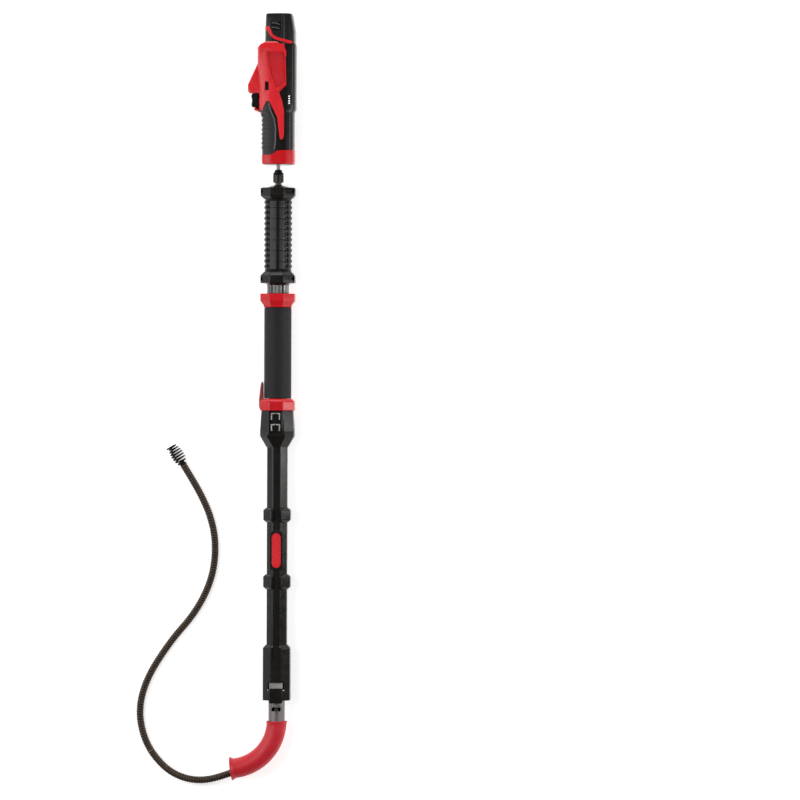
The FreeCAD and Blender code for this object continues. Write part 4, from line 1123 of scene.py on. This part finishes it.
BATTERY_STATIONS = [
    (634, -23.3, 29.9, 24), (645, -23.2, 29.9, 24), (655, -23.1, 29.9, 24),
    (668, -22.6, 28.2, 24), (679, -22.3, 26.4, 24), (684.4, -22, 25.4, 23.8),
    (686.4, -21.3, 24.4, 23.2), (687, -20.4, 23.4, 22.4),
]
STRIPE = [
    (-30, 664.4), (-14.7, 663.6), (-11.6, 657), (-8.9, 650.1), (-2.5, 645.6), (25.6, 637.9),
    (25.6, 632.6), (8.1, 637.4), (-5.1, 641.4), (-13, 647.5), (-18.6, 657.1), (-30, 658.2),
]


def battery_form(by=0.0):
    return lofted([(place, left - by, right + by, half + by)
                   for place, left, right, half in BATTERY_STATIONS], 5.0)


def add_battery():
    low, high = span("battery_case")
    recess = [block((-12.4, 5.4), (656.6, 673.4), zone) for zone in both_faces(19, 40)]
    valleys = [bar(5, 630, 690, 9.5, side * 27.9, steps=24) for side in (-1, 1)]
    cap = carve(battery_form(), recess + valleys)
    stem = crowned(rectangle(low.x + 11.1, 27.2, low.y, 636), -20, 20, 5, 4)
    finish_piece("battery_shell", joined(cap, stem), "battery", "battery_black",
                 ("battery_case",), crease=32)
    finish_piece("battery_stripe", within(battery_form(0.45), STRIPE), "battery", "driver_red")


def add_battery_latches():
    """Oval press pads with two curved finger ridges each, the ridges painted grey as highlights."""
    for node in ("battery_latch_front", "battery_latch_back"):
        low, high = span(node)
        side = 1 if high.z > 0 else -1
        middle, across = (low + high) / 2, (high - low) / 2
        oval = []
        for step in range(24):
            turn = 2 * pi * step / 24
            wave = [copysign(abs(value) ** 0.55, value)
                    for value in (cos(turn), sin(turn))]
            oval.append((middle.x + across.x * wave[0], middle.y + across.y * wave[1]))
        pad = crowned(oval, low.z, high.z, 0.9, 3)
        ridges = []
        for y in (-4.5, 3.2):
            ridge = [(middle.x - 7 + 1.75 * step,
                      middle.y + y + 1.4 - 0.35 * step + 1.2 * sin(pi * step / 8),
                      side * (abs(middle.z) + across.z - 0.1)) for step in range(9)]
            ridges.append(tube_along(ridge, 0.8, 8))
        finish_piece(node + "_pad", pad, node, "satin_black", (node,),
                     crease=40)
        # the ridges' grey is a painted highlight on black pads
        finish_piece(node + "_ridges", joined(*ridges), node, "highlight_grey_rubber")


# ---- CAD pieces whose shape already fits ----

KEPT = {
    "steel": ["steel_tube", "spindle", "planet_gears", "motor_rotor", "motor_can"],
    "plated": ["latch_pin", "latch_strip", "housing_screws", "lever_pin", "driver_screws"],
    "black_oxide": ["drive_shank"],
    "alloy": ["inner_tube", "gearbox_case"],
    "bronze": ["upper_bearing", "spindle_bearing"],
    "black_nylon": ["grip_core", "trigger_switch", "terminal_block"],
    "black_rubber": ["wiper_seal", "brake_shoe"],
    "spring_wire": ["guided_cable", "drive_cable"],
    "board_green": ["circuit_board"],
    "cell_wrap": ["battery_cells"],
    "lamp": ["gauge_lamps"],
}


def paint_kept_pieces():
    for finish, nodes in KEPT.items():
        for node in nodes:
            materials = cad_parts[node].data.materials
            materials.clear()
            materials.append(FINISH[finish])


def spring_line(turns, steps, radius, height):
    """Points along a spring that stands on the origin."""
    count = turns * steps
    return [(radius * cos(2 * pi * step / steps),
             radius * sin(2 * pi * step / steps), step * height / count)
            for step in range(count + 1)]


def add_return_springs():
    """Coils behind the trigger and the knurled sleeve, drawn at rest; nothing here closes them up
    as those are pressed.
    """
    wire = 0.4
    x, low, y, high = -33.9, 394.6, 535.5, 403.9
    line = [(over, low + wire + rise, z) for over, z, rise in spring_line(4, 24, 7.35, 8.5)]
    coil = finish_piece("sleeve_return_coil", tube_along(line, wire, 8), "drive_line",
                        "plated", ("coupler_spring",))
    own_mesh(coil)
    line = [(x + wire + rise, y + over, z) for over, z, rise in spring_line(6, 20, 2.2, 12.6)]
    coil = finish_piece("trigger_return_coil", tube_along(line, wire, 8), "driver",
                        "plated", ("trigger_spring",))
    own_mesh(coil)


# ---- the whole ----

add_camera()
add_lights()
add_floor(studio_floor())
add_cable()
add_upper_cap()
add_ribbed_grip()
add_lower_flange()
add_collars()
add_foam()
add_lever()
add_housing()
add_guide_tube()
add_rings()
add_socket()
add_elbow()
add_coupler()
add_black_body()
add_red_shell()
add_panels()
add_nose_cap()
add_grip_rubber()
add_trigger()
add_selector()
add_battery()
add_battery_latches()
add_return_springs()
paint_kept_pieces()
